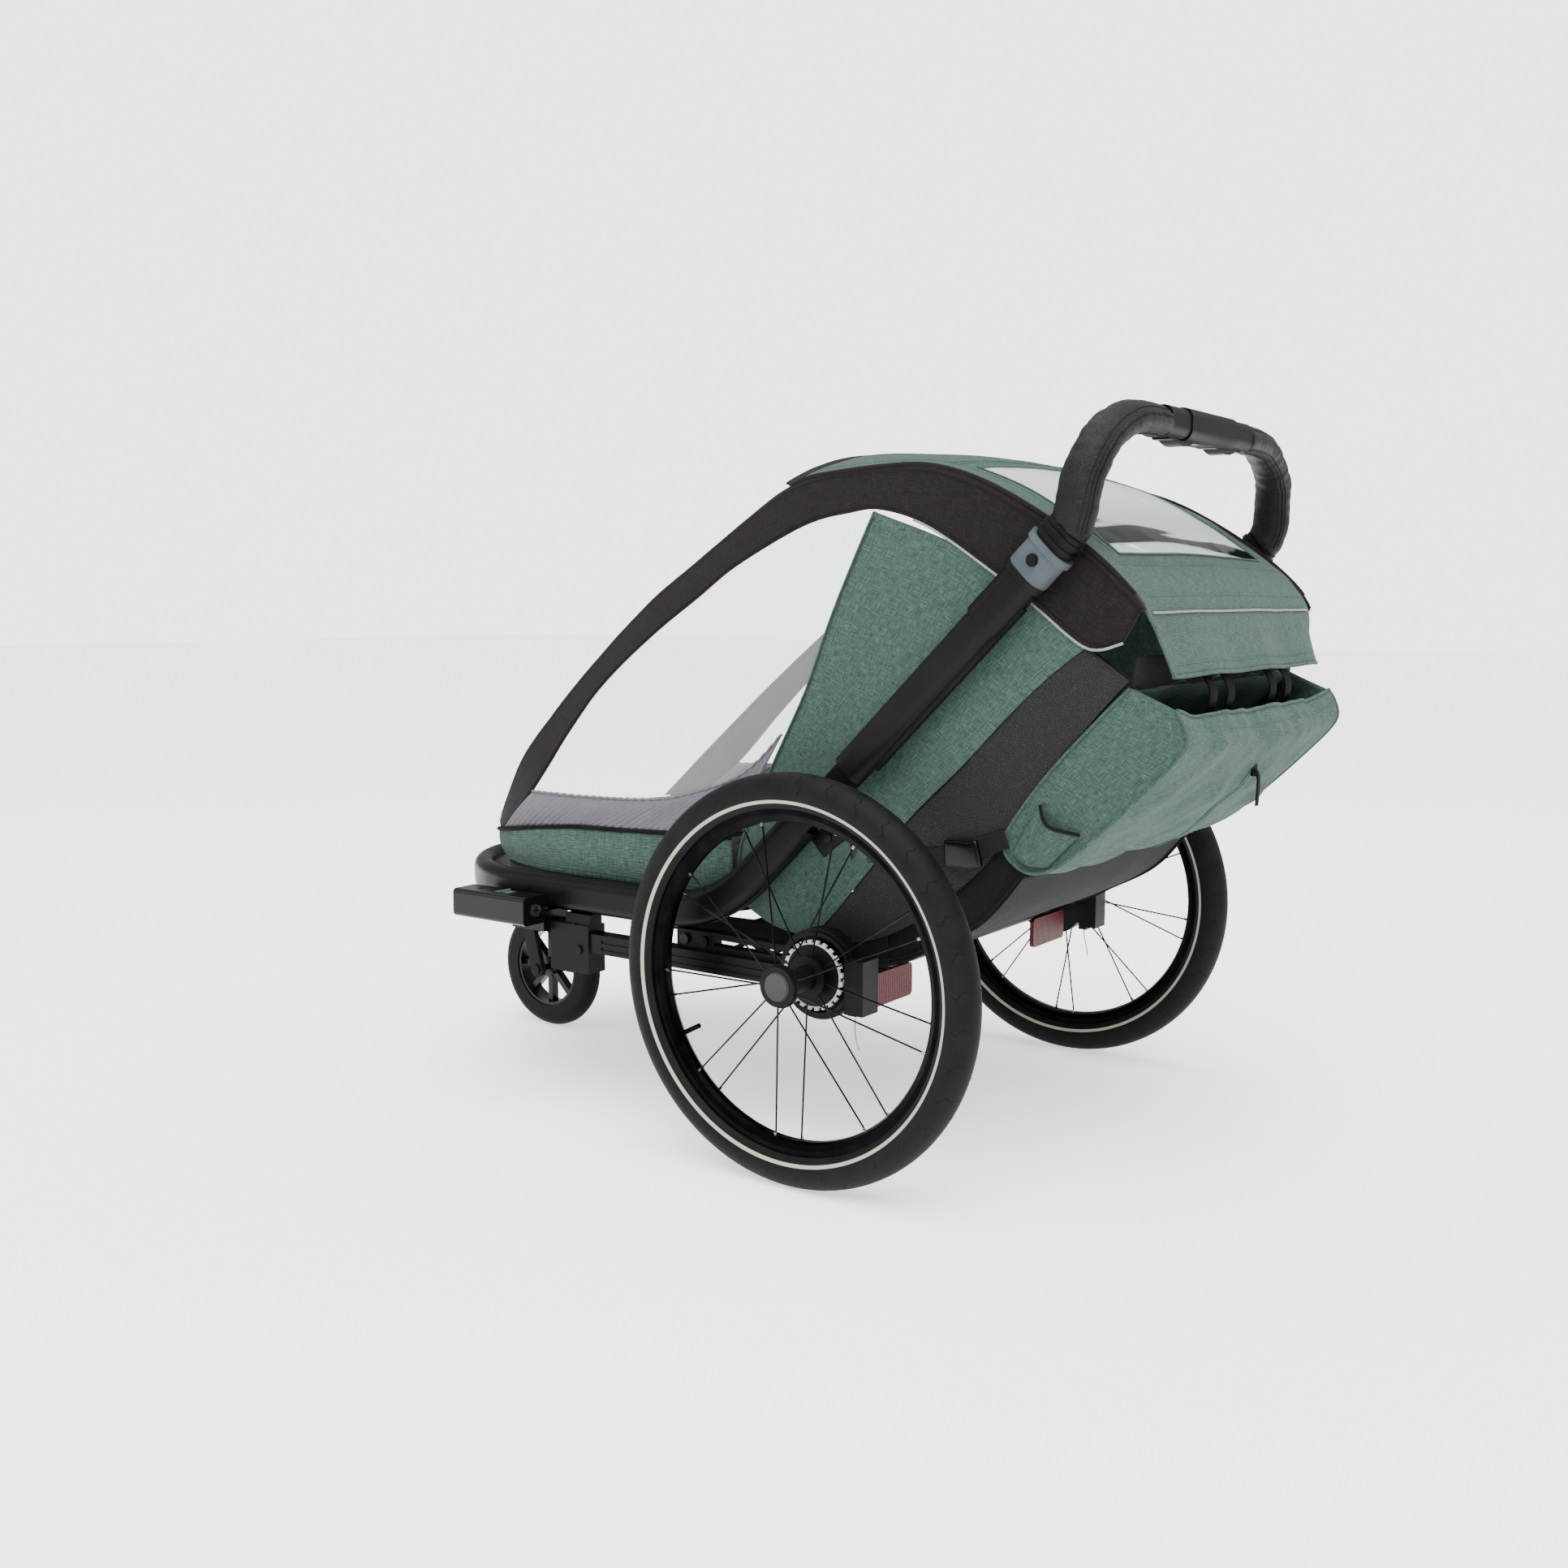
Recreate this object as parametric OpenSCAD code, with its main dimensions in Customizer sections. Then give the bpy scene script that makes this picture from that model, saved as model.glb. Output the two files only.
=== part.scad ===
// Two-seat child bicycle trailer that also works as a stroller.
// The bent tube frame stands on two spoked wheels and a front caster. Two posts carry the push handle,
// and they turn down forwards to fold the trailer flat over its fabric body.
// +X is the trailer's right, +Y is forwards, +Z is up. All places are measured from the ground
// under the main axle, and place() moves them so that the origin is under the middle of the trailer.

/* [Main wheels] */
// Outside radius of a main wheel
wheel_r = 250; // [244:1:254]
// Radius of the tyre's round section
tyre_r = 23.5; // [20:0.5:25]
// Distance of each wheel's middle plane from the centre line
wheel_x = 375; // [372:1:385]
// Number of spokes in each wheel, set in pairs
spoke_count = 18; // [14:2:28]
// Diameter of a spoke
spoke_d = 2.2; // [1.8:0.1:3]

/* [Frame] */
// Distance of the side tubes' centre line from the middle
frame_x = 302; // [300:1:305]
// Height of the frame tube's centre line
frame_z = 299; // [295:1:303]
// Upright size of the frame tube
tube_h = 48; // [44:1:50]
// Width of the frame tube
tube_w = 29; // [26:1:30]
// Furthest forward point of the frame tube
frame_front = 735; // [725:1:745]
// Radius of the two front corners
corner_r = 215; // [180:5:225]
// Radius of the bend that turns the side tubes up to the posts
bend_r = 200; // [160:5:220]

/* [Posts and handle] */
// Length of a post from the fold pivot to its collar
post_len = 374; // [360:1:385]
// Angle through which the posts fold forwards
fold_angle = 120; // [90:1:120]
// Height of the handle's centre line
handle_z = 905; // [895:1:915]
// How far the handle lies behind the axle
handle_back = 331; // [325:1:340]

/* [Caster] */
// Radius of the caster's tyre
caster_r = 98; // [90:1:100]
// Distance of the caster's axle in front of the main axle
caster_y = 750; // [745:1:755]
// Distance from the caster's axle forwards to its swivel axis
caster_trail = 32; // [28:1:36]
// Width of the caster's tyre
caster_w = 40; // [36:1:44]

/* [Cabin] */
// Thickness of the fabric walls
wall = 4; // [3:0.5:5]
// Height of the seat above the ground
seat_z = 372; // [360:1:385]

/* [Hidden] */
$fn = 64;
axle_y = -208.5;                      // puts the middle of the trailer's length on the origin
pin_gap = 0.05;                     // running gap around every pin
part_gap = 0.4;                     // gap between pieces that pass each other
post_lean = 45;                     // lean of the posts from upright
fold_y = 4;
fold_z = 465;                       // the fold pivot lies on the posts' centre line
fold_pin_r = 6;
lug_r = 22;
tube_start = 46;                    // where the tubes begin, measured from the fold pivot
collar_len = 42;
spigot_r = 14;
spigot_depth = 120;
handle_travel = 90;                 // how far the handle may be drawn out of the posts
sin45 = sin(45);
rim_r = wheel_r - 2 * tyre_r - 11.4;
wire_top = 205;                     // height at which the bare brake wires leave their blocks
hub_x = 27;                         // flange distance from the wheel's middle plane
axle_r = 6;
ring_teeth = 24;
socket_in = 284;                    // inner and outer faces of the jogging arm sockets
socket_out = 317;
socket_y = 380;
rail_inner = frame_x - tube_w / 2;

// ---- helpers ----
module place() { translate([0, axle_y, 0]) children(); }
module mirrored(side) { if (side < 0) mirror([1, 0, 0]) children(); else children(); }
module along_x() { rotate([0, 90, 0]) children(); }
module at_fold() { translate([frame_x, fold_y, fold_z]) rotate([post_lean, 0, 0]) children(); }

// upright oval section of the frame tube, width along X
module tube_section(w = tube_w, h = tube_h) {
    r = w / 2;
    translate([0, h / 2 - r]) circle(r);
    translate([0, r - h / 2]) circle(r);
    square([w, h - w], center = true);
}
module rounded_bar(size, r) {
    // a block with its four long edges along Z rounded
    linear_extrude(size[2]) {
        square([size[0] - 2 * r, size[1]], center = true);
        square([size[0], size[1] - 2 * r], center = true);
        for (x = [-1, 1], y = [-1, 1]) translate([x * (size[0] / 2 - r), y * (size[1] / 2 - r)]) circle(r);
    }
}

function unit(v) = v / norm(v);
function lerp(a, b, t) = a + (b - a) * t;
// direction of travel at point i of a path
function heading(path, i) = unit(path[min(i + 1, len(path) - 1)] - path[max(i - 1, 0)]);
// an oval ring of n points across the path, a wide towards the reference direction and b across it
function ring(p, t, ref, a, b, n) =
    let (v = unit(cross(t, ref)), u = cross(v, t))
    [for (k = [0:n - 1]) p + a * cos(360 * k / n) * u + b * sin(360 * k / n) * v];
// skin of a tube made of count rings with n points each
function tube_faces(count, n) = concat(
    [[for (k = [0:n - 1]) k]],
    [for (i = [0:count - 2], k = [0:n - 1]) let (q = (k + 1) % n)
        [i * n + k, (i + 1) * n + k, (i + 1) * n + q, i * n + q]],
    [[for (k = [n - 1:-1:0]) (count - 1) * n + k]]);
module sweep(path, a, b, ref, n = 16) {
    polyhedron([for (i = [0:len(path) - 1]) each ring(path[i], heading(path, i), ref, a, b, n)],
        tube_faces(len(path), n), convexity = 6);
}

// a sheet between an outer and an inner grid of points, both given as rows
module skin(outer, inner) {
    m = len(outer);
    n = len(outer[0]);
    base = m * n;
    quads = [for (i = [0:m - 2], k = [0:n - 2]) [i * n + k, i * n + k + 1, (i + 1) * n + k + 1, (i + 1) * n + k]];
    edge = concat([for (k = [0:n - 2]) [k, k + 1]],
        [for (i = [0:m - 2]) [i * n + n - 1, (i + 1) * n + n - 1]],
        [for (k = [n - 1:-1:1]) [(m - 1) * n + k, (m - 1) * n + k - 1]],
        [for (i = [m - 1:-1:1]) [i * n, (i - 1) * n]]);
    polyhedron(concat([for (r = outer) each r], [for (r = inner) each r]),
        concat([for (q = quads) each [[q[0], q[1], q[2]], [q[0], q[2], q[3]]]],
            [for (q = quads) each [[base + q[2], base + q[1], base + q[0]], [base + q[3], base + q[2], base + q[0]]]],
            [for (e = edge) each [[e[1], e[0], base + e[0]], [e[1], base + e[0], base + e[1]]]]),
        convexity = 8);
}

// ---- frame ----
module frame_side(side) {
    // level rail, upward bend, sloping end and the fold lug
    slope_sum = fold_y + fold_z;
    corner_y = slope_sum - frame_z;
    reach = bend_r * tan(post_lean / 2);
    climb = norm([corner_y - fold_y, frame_z - fold_z]) - reach;
    rail_end = frame_front - tube_w / 2 - corner_r;
    color("#1d1d20") place() mirrored(side) difference() {
        union() {
            translate([frame_x, rail_end, frame_z]) rotate([90, 0, 0])
                linear_extrude(rail_end - corner_y - reach) tube_section();
            translate([frame_x, corner_y + reach, frame_z + bend_r]) mirror([0, 1, 0]) rotate([0, 90, 0])
                rotate_extrude(angle = post_lean, $fn = 128) translate([bend_r, 0]) rotate(90) tube_section();
            at_fold() translate([0, 0, -climb]) linear_extrude(climb - tube_start) tube_section();
            at_fold() translate([1, -lug_r + 4, -tube_start - 12]) cube([tube_w / 2 - 1, 2 * lug_r - 8, tube_start + 12]);
            at_fold() translate([1, 0, 0]) along_x() cylinder(r = lug_r, h = tube_w / 2 - 1);
        }
        at_fold() translate([-1, 0, 0]) along_x() cylinder(r = fold_pin_r + pin_gap, h = tube_w);
    }
}
module frame_left() { frame_side(-1); }
module frame_right() { frame_side(1); }
module frame_front() {
    cx = frame_x - corner_r;
    cy = frame_front - tube_w / 2 - corner_r;
    color("#1d1d20") place() {
        for (s = [-1, 1]) translate([s * cx, cy + 0.02, frame_z]) rotate([0, 0, s > 0 ? 0 : 90])
            rotate_extrude(angle = 90, $fn = 128) translate([corner_r, 0]) tube_section();
        translate([-cx, cy + corner_r + 0.02, frame_z]) rotate([90, 0, 90]) linear_extrude(2 * cx) tube_section();
    }
}

// ---- running gear ----
module keel(side) {
    // ribbed rail that ties the jogger socket to the axle arm
    h = 26;
    w = 24;
    color("#1a1a1c") place() mirrored(side) difference() {
        translate([frame_x - w / 2, 66, 224]) cube([w, socket_y - 66.5, h]);
        for (z = [6, 15]) translate([frame_x + w / 2 - 1.5, 60, 224 + z]) cube([4, 300, 4]);
    }
}
module keel_left() { keel(-1); }
module keel_right() { keel(1); }

arm_t = 18;
arm_face = 286;                     // inner face of the cast arm
module axle_arm(side) {
    // cast arm: bolted plate, two chords with a lattice between them, and the axle boss
    color("#161618") place() mirrored(side) translate([arm_face, 0, 0]) difference() {
        union() {
            translate([0, 176, 250.5]) cube([arm_t, 60, 24]);
            along_x_at(0, wheel_r) cylinder(r = 25, h = arm_t);
            bar_x([16, 268], [180, 271], 4, arm_t);
            bar_x([14, 254], [180, 254], 4, arm_t);
            for (p = [[[40, 256], [66, 268]], [[66, 268], [96, 256]], [[96, 256], [124, 269]], [[124, 269], [152, 256]]])
                bar_x(p[0], p[1], 2.5, arm_t - 6);
        }
        translate([-1, 0, 0]) along_x_at(0, wheel_r) cylinder(r = axle_r + pin_gap, h = arm_t + 2);
        for (y = [190, 222]) translate([-1, 0, 0]) along_x_at(y, 262) cylinder(r = 4.05, h = arm_t + 2);
    }
}
module along_x_at(y, z) { translate([0, y, z]) along_x() children(); }
// a bar of the given half height between two points of the side view
module bar_x(a, b, r, t) {
    d = [b[0] - a[0], b[1] - a[1]];
    translate([0, a[0], a[1]]) rotate([atan2(d[1], d[0]), 0, 0]) translate([0, 0, -r]) cube([t, norm(d), 2 * r]);
}
module axle_arm_left() { axle_arm(-1); }
module axle_arm_right() { axle_arm(1); }

module frame_fasteners() {
    // fold pins, arm bolts and the bolts of the jogger sockets
    color("silver") place() for (s = [-1, 1]) mirrored(s) {
        at_fold() translate([-tube_w / 2 + 0.2, 0, 0]) along_x() cylinder(r = fold_pin_r, h = tube_w - 0.2);
        at_fold() translate([tube_w / 2, 0, 0]) along_x() cylinder(r = 10, h = 3);
        for (y = [190, 222]) {
            translate([arm_face, 0, 0]) along_x_at(y, 262) cylinder(r = 4, h = arm_t);
            translate([arm_face + arm_t, 0, 0]) along_x_at(y, 262) cylinder(r = 7, h = 4);
        }
        translate([socket_out, 0, 0]) along_x_at(socket_y + 18, 226) cylinder(r = 6.5, h = 2.5);
    }
}

module rear_crossbar() {
    color("#1d1d20") place() translate([-arm_face, -11, 241]) along_x() cylinder(r = 10, h = 2 * arm_face);
}

module stub_axles() {
    color("silver") place() for (s = [-1, 1]) mirrored(s)
        translate([arm_face, 0, 0]) along_x_at(0, wheel_r) cylinder(r = axle_r, h = wheel_x + hub_x - arm_face - 1);
}

brake_in = 304.4;
brake_out = 330;
pin_y = -48;
pin_side = 4;
ring_out_r = 43;
module brake_housing(side) {
    // shallow drum cover with a square block behind it that guides the locking pin
    color("#202022") place() mirrored(side) difference() {
        union() {
            translate([brake_in, 0, 0]) along_x_at(0, wheel_r) cylinder(r = 56, h = brake_out - brake_in - 6);
            translate([brake_in, 0, 0]) along_x_at(0, wheel_r) cylinder(r = 52, h = brake_out - brake_in - 2);
            translate([brake_in, -74, wheel_r - 40]) cube([34, 26, 66]);
            translate([brake_in, -60, wheel_r - 34]) cube([18, 40, 60]);
            translate([brake_in + 6, -56, wire_top]) cube([14, 12, 12]);
        }
        translate([brake_in - 1, 0, 0]) along_x_at(0, wheel_r) cylinder(r = axle_r + 3, h = 40);
        translate([brake_out - 12, 0, 0]) along_x_at(0, wheel_r) cylinder(r = 47, h = 20);
        translate([ring_x - pin_side / 2 - 0.25, -70.5, wheel_r - pin_side / 2 - 0.25])
            cube([pin_side + 0.5, 30, pin_side + 0.5]);
    }
}
module brake_housing_left() { brake_housing(-1); }
module brake_housing_right() { brake_housing(1); }
ring_x = 333;
module brake_pin(side) {
    color("silver") place() mirrored(side) translate([ring_x - pin_side / 2, -66, wheel_r - pin_side / 2])
        cube([pin_side, 66 - ring_out_r - 0.8, pin_side]);
}
module brake_pin_left() { brake_pin(-1); }
module brake_pin_right() { brake_pin(1); }

// bare end of the brake's inner wire, hanging from the pinch block
wire_r = 0.8;
wire_route = [[317, -50, 205], [317, -50, 202], [317.4, -50.2, 198], [318, -50.5, 194], [318.8, -51, 190],
    [319.4, -51.5, 186], [319.8, -52.2, 182], [320, -53, 178], [320, -54, 174], [319.6, -55, 170],
    [319, -55.8, 167], [318.2, -56.4, 164]];
module brake_wire(side) { color("#a9a29a") place() mirrored(side) sweep(wire_route, wire_r, wire_r, [0, 1, 0], 8); }
module brake_wire_left() { brake_wire(-1); }
module brake_wire_right() { brake_wire(1); }

module reflectors() {
    color("#b5121b") place() for (s = [-1, 1]) translate([s * 218, -34, 221]) {
        translate([0, -3, 0]) rotate([90, 0, 0]) translate([0, 0, -3]) rounded_bar([98, 42, 6], 6);
        translate([-12, 3, 6]) cube([24, 9.9, 14]);
    }
}

// ---- tow arm receiver on the left front of the frame ----
tow = [[-364, 455, 258], [-317, 591, 297]];
mouth = [30, 24];                   // width and height of the slot for the tow arm
module tow_receiver() {
    cx = (tow[0][0] + tow[1][0]) / 2;
    cz = (tow[0][2] + tow[1][2]) / 2;
    color("#19191b") place() difference() {
        union() {
            translate([cx, tow[1][1], cz]) rotate([90, 0, 0])
                rounded_bar([tow[1][0] - tow[0][0], tow[1][2] - tow[0][2], tow[1][1] - tow[0][1]], 6);
            translate([-330, 450, 247]) cube([48, 60, 27.6]);
        }
        translate([cx - mouth[0] / 2, tow[1][1] - 100, cz - mouth[1] / 2]) cube([mouth[0], 101, mouth[1]]);
        translate([cx, 512, tow[1][2] - 5]) cube([16.4, 26.4, 12], center = true);
        translate([cx, tow[0][1] - 1, cz]) rotate([-90, 0, 0]) cylinder(r = 9.2, h = 13);
        translate([cx, 560, tow[0][2] - 1]) cylinder(r = 4.1, h = 60);
    }
}
module tow_button() {
    cx = (tow[0][0] + tow[1][0]) / 2;
    color("#8b9496") place() {
        translate([cx, 512, tow[1][2] - 2.5]) cube([16, 26, 6], center = true);
        translate([cx, 512, tow[1][2] + 0.5]) rotate([0, 90, 0]) cylinder(r = 3, h = 16, center = true);
    }
}
module tow_key() {
    cx = (tow[0][0] + tow[1][0]) / 2;
    cz = (tow[0][2] + tow[1][2]) / 2;
    color("silver") place() difference() {
        translate([cx, tow[0][1] - 1.5, cz]) rotate([-90, 0, 0]) cylinder(r = 9, h = 12);
        translate([cx - 1, tow[0][1] - 2, cz - 5]) cube([2, 4, 10]);
    }
}

// ---- sockets for the jogging arms ----
module jogger_socket(side) {
    color("#19191b") place() mirrored(side) translate([0, socket_y, 0]) difference() {
        union() {
            translate([socket_in, 0, 194]) cube([socket_out - socket_in, 70, 66]);
            translate([frame_x - 12, 0, 259]) cube([24, 44, 15.8]);
        }
        // mouth for the arm, open to the front
        translate([socket_in + 6, 24, 200]) cube([socket_out - socket_in - 12, 50, 44]);
        // slot for the lever
        translate([socket_in + 8, 20, 252]) cube([socket_out - socket_in - 16, 60, 20]);
        translate([socket_in - 1, 0, 0]) along_x_at(28, 259) cylinder(r = 2.5 + pin_gap, h = 40);
    }
}
module jogger_socket_left() { jogger_socket(-1); }
module jogger_socket_right() { jogger_socket(1); }
module jogger_lever(side) {
    w = socket_out - socket_in - 17;
    color("#2a2a2d") place() mirrored(side) translate([socket_in, socket_y, 0]) {
        translate([8.5, 28, 255]) cube([w, 36, 6]);
        translate([8.5, 56, 255]) cube([w, 8, 7.5]);
        translate([8.5, 0, 0]) along_x_at(28, 259) cylinder(r = 5, h = w);
        along_x_at(28, 259) cylinder(r = 2.5, h = socket_out - socket_in);
    }
}
module jogger_lever_left() { jogger_lever(-1); }
module jogger_lever_right() { jogger_lever(1); }

// ---- caster ----
head_y = caster_y + caster_trail;
module caster_mount() {
    color("#1d1d20") place() difference() {
        union() {
            translate([0, head_y, 226]) cylinder(r = 19, h = 44);
            translate([-24, 690, 250]) cube([48, head_y - 690, 20]);
            translate([-24, 690, 262]) cube([48, 60, 12.8]);
            translate([-24, frame_front + 0.2, 262]) cube([48, 12, 54]);
        }
        translate([0, head_y, 225]) cylinder(r = 8 + pin_gap, h = 46);
    }
}
module caster_fork() {
    color("#1c1c1e") place() difference() {
        union() {
            translate([0, head_y, 206]) cylinder(r = 22, h = 19.4);
            translate([0, head_y, 224]) cylinder(r = 8, h = 52);
            translate([-39, head_y - 20, 205]) cube([78, 38, 12]);
            for (s = [-1, 1]) translate([s > 0 ? 30 : -39, 0, 0]) {
                along_x_at(caster_y, caster_r) cylinder(r = 13, h = 9);
                leg = [head_y - 2, 210];
                lean = atan2(leg[1] - caster_r, leg[0] - caster_y);
                translate([0, caster_y, caster_r]) rotate([lean, 0, 0]) translate([0, 0, -12])
                    cube([9, norm([leg[1] - caster_r, leg[0] - caster_y]), 24]);
            }
            translate([-39, 0, 0]) along_x_at(caster_y, caster_r) cylinder(r = 5, h = 78);
            for (x = [-42, 39]) translate([x, 0, 0]) along_x_at(caster_y, caster_r) cylinder(r = 8, h = 3);
        }
    }
}
module caster_rim() {
    r = caster_r - 34.15;
    color("#161617") place() along_x_at(caster_y, caster_r) translate([0, 0, -15]) difference() {
        union() {
            cylinder(r = 15, h = 30);
            difference() { cylinder(r = r, h = 30); translate([0, 0, -1]) cylinder(r = r - 5, h = 32); }
            for (k = [0:7]) rotate([0, 0, 45 * k]) translate([10, -4.5, 8]) cube([r - 12, 9, 14]);
        }
        translate([0, 0, -1]) cylinder(r = 5 + pin_gap, h = 32);
    }
}
module caster_tyre() {
    r = caster_r - 34;
    color("#222224") place() along_x_at(caster_y, caster_r)
        rotate_extrude($fn = 96) difference() {
            translate([caster_r - 17, 0]) { circle(17); translate([-17, -17]) square([17, 34]);
                translate([0, -3]) square([17, 6]); }
            translate([0, -caster_w]) square([r, 2 * caster_w]);
        }
}

// ---- main wheels ----
module wheel_frame(side) { place() mirrored(side) translate([wheel_x, 0, wheel_r]) along_x() children(); }
bead_r = rim_r + 16.4;
module tyre(side) {
    mid = wheel_r - tyre_r;
    color("#202022") wheel_frame(side) rotate_extrude($fn = 180) difference() {
        translate([mid, 0]) circle(tyre_r);
        translate([mid, 0]) circle(tyre_r - 3);
        translate([0, -tyre_r]) square([bead_r, 2 * tyre_r]);
    }
}
module tyre_left() { tyre(-1); }
module tyre_right() { tyre(1); }
module rim(side) {
    valve_angle = 62;
    color("#17171a") wheel_frame(side) {
        rotate_extrude($fn = 180) polygon([for (p = [[0, -4], [2.5, -9], [9, -12], [16.4, -12], [16.4, -9.5],
            [10.5, -9.5], [8, -3], [8, 3], [10.5, 9.5], [16.4, 9.5], [16.4, 12], [9, 12], [2.5, 9], [0, 4]])
            [rim_r + p[0], p[1]]]);
        rotate([0, 0, valve_angle]) translate([rim_r - 30, 0, 0]) rotate([0, 90, 0]) cylinder(r = 3.2, h = 32, $fn = 24);
    }
}
module rim_left() { rim(-1); }
module rim_right() { rim(1); }
module spokes(side) {
    pairs = spoke_count / 2;
    split = 5;                      // half the angle between the two spokes of a pair
    first = 1.8;
    hub_end = 26.3;
    rim_end = rim_r - 0.3;
    color("#2a2a2c") wheel_frame(side) for (k = [0:pairs - 1], s = [-1, 1])
        rotate([0, 0, first + 360 / pairs * k + s * split]) translate([hub_end, 0, s * hub_x])
            rotate([0, 90 + s * atan2(hub_x - 3, rim_end - hub_end), 0])
                cylinder(d = spoke_d, h = norm([hub_x - 3, rim_end - hub_end]), $fn = 16);
}
module spokes_left() { spokes(-1); }
module spokes_right() { spokes(1); }
module hub(side) {
    color("#111113") wheel_frame(side) difference() {
        union() {
            translate([0, 0, ring_x - wheel_x - 2]) cylinder(r = 15, h = wheel_x - ring_x + hub_x + 2);
            translate([0, 0, ring_x - wheel_x - 2]) cylinder(r = 38, h = 4);
            for (z = [-hub_x, hub_x]) translate([0, 0, z - 2]) cylinder(r = 26, h = 4);
            translate([0, 0, hub_x]) cylinder(r = 24, h = 7.5);
        }
        translate([0, 0, -60]) cylinder(r = axle_r + pin_gap, h = 100);
        translate([0, 0, hub_x + 0.5]) cylinder(r = 18, h = 20);
    }
}
module hub_left() { hub(-1); }
module hub_right() { hub(1); }
module brake_ring(side) {
    color("#e4e4e0") wheel_frame(side) translate([0, 0, ring_x - wheel_x - 2]) difference() {
        cylinder(r = ring_out_r, h = 4, $fn = 96);
        translate([0, 0, -1]) cylinder(r = 38.02, h = 6);
        for (k = [0:ring_teeth - 1]) rotate([0, 0, 360 / ring_teeth * k]) translate([ring_out_r - 3.8, -2.7, -1]) cube([6, 5.4, 6]);
    }
}
module brake_ring_left() { brake_ring(-1); }
module brake_ring_right() { brake_ring(1); }
module hub_cap(side) {
    color("#7c8588") wheel_frame(side) translate([0, 0, hub_x + 4]) {
        cylinder(r = 17.5, h = 3.5);
        cylinder(r = 16, h = 5.5);
    }
}
module hub_cap_left() { hub_cap(-1); }
module hub_cap_right() { hub_cap(1); }

// ---- posts ----
collar_w = 40;
collar_h = 60;
module post(side) {
    color("#1d1d20") place() mirrored(side) at_fold() difference() {
        union() {
            translate([-tube_w / 2, 0, 0]) along_x() cylinder(r = lug_r, h = tube_w / 2 - part_gap);
            translate([-tube_w / 2, 4 - lug_r, 0]) cube([tube_w / 2 - part_gap, 2 * lug_r - 8, tube_start + 12]);
            translate([0, 0, tube_start]) linear_extrude(post_len - tube_start) tube_section(tube_w, 44);
            translate([-4, -27, tube_start + 30]) cube([8, 8, post_len - tube_start - 60]);
            translate([0, 0, post_len - 76]) linear_extrude(76) tube_section(tube_w + 4, 50);
            translate([0, 0, post_len - 8]) linear_extrude(8) tube_section(collar_w - 2, 58);
        }
        translate([-tube_w, 0, 0]) along_x() cylinder(r = fold_pin_r + pin_gap, h = 2 * tube_w);
        translate([0, 0, post_len + collar_len - spigot_depth - 6]) cylinder(r = bore_r, h = 200);
    }
}
bore_r = 11.3;
module post_left() { post(-1); }
module post_right() { post(1); }
button_y = 2;
module collar(side) {
    color("#6e7678") place() mirrored(side) at_fold() translate([0, 0, post_len]) difference() {
        union() {
            linear_extrude(collar_len) tube_section(collar_w - 3, collar_h - 6);
            translate([0, 0, collar_len - 8]) linear_extrude(8) tube_section(collar_w, collar_h);
        }
        translate([0, 0, -1]) cylinder(r = bore_r, h = collar_len + 2);
        translate([collar_w / 2 - 6.5, 0, 20]) along_x() cylinder(r = 7.2, h = 20);
    }
}
module collar_left() { collar(-1); }
module collar_right() { collar(1); }
module snap_button(side) {
    color("#202022") place() mirrored(side) at_fold() translate([collar_w / 2 - 3.2, 0, post_len + 20])
        along_x() { cylinder(r = 7, h = 3.4); cylinder(r = 5.5, h = 4.6); }
}
module snap_button_left() { snap_button(-1); }
module snap_button_right() { snap_button(1); }

// ---- handle ----
cuff_len = 26;
cuff_top = post_len + collar_len + cuff_len;
foot = [frame_x, fold_y - cuff_top * sin45, fold_z + cuff_top * sin45];
module handle_spigots() {
    color("#26262a") place() for (s = [-1, 1]) mirrored(s) at_fold() {
        translate([0, 0, post_len + collar_len - spigot_depth]) cylinder(r = bore_r - 0.3, h = spigot_depth + 1);
        translate([0, 0, post_len + collar_len + 0.4]) {
            linear_extrude(cuff_len - 0.6) tube_section(34, 50);
            translate([0, 0, 4]) linear_extrude(5) tube_section(37, 54);
            translate([0, 0, 14]) linear_extrude(5) tube_section(37, 54);
        }
    }
}
handle_path = [foot, foot + [0, -3, 3], [303.5, -314.5, 789], [304, -317.5, 799], [303.5, -319, 810], [301, -320.5, 824],
    [297, -322, 835], [292, -324, 845], [286, -326, 856], [276, -327, 866], [265, -328, 876], [249, -329, 886],
    [230, -330, 894], [205, -331, 902], [172, -handle_back, handle_z], [130, -handle_back, handle_z]];
module grip(side) { color("#18181a") place() mirrored(side) sweep(handle_path, 18, 25, [0, 1, 0.3], 20); }
module grip_left() { grip(-1); }
module grip_right() { grip(1); }

lever_slot = [22, 116];             // from the middle outwards
module box_slice(len, size) {
    // length of box with rounded edges, centred on the middle
    translate([-len / 2, 0, 0]) rotate([0, 90, 0]) rotate([0, 0, 90]) rounded_bar([size[0], size[1], len], 13);
}
module handle_box() {
    color("#222225") place() translate([0, -handle_back, handle_z]) difference() {
        union() {
            box_slice(259.6, [42, 36]);
            box_slice(150, [45, 39]);
        }
        for (s = [-1, 1]) mirrored(s) translate([lever_slot[0], -11, -40]) cube([lever_slot[1] - lever_slot[0], 22, 32]);
    }
}
module handle_lever(side) {
    len = lever_slot[1] - lever_slot[0] - 1;
    mid = (lever_slot[0] + lever_slot[1]) / 2;
    color("#1b1b1d") place() mirrored(side) translate([mid, -handle_back, handle_z]) {
        translate([-len / 2, -10.5, -20]) cube([len, 21, 6]);
        intersection() {
            translate([0, 10.5, 50]) rotate([90, 0, 0]) cylinder(r = 75, h = 21, $fn = 96);
            translate([-len / 2, -10.5, -26]) cube([len, 21, 7]);
        }
    }
}
module handle_lever_left() { handle_lever(-1); }
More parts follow.
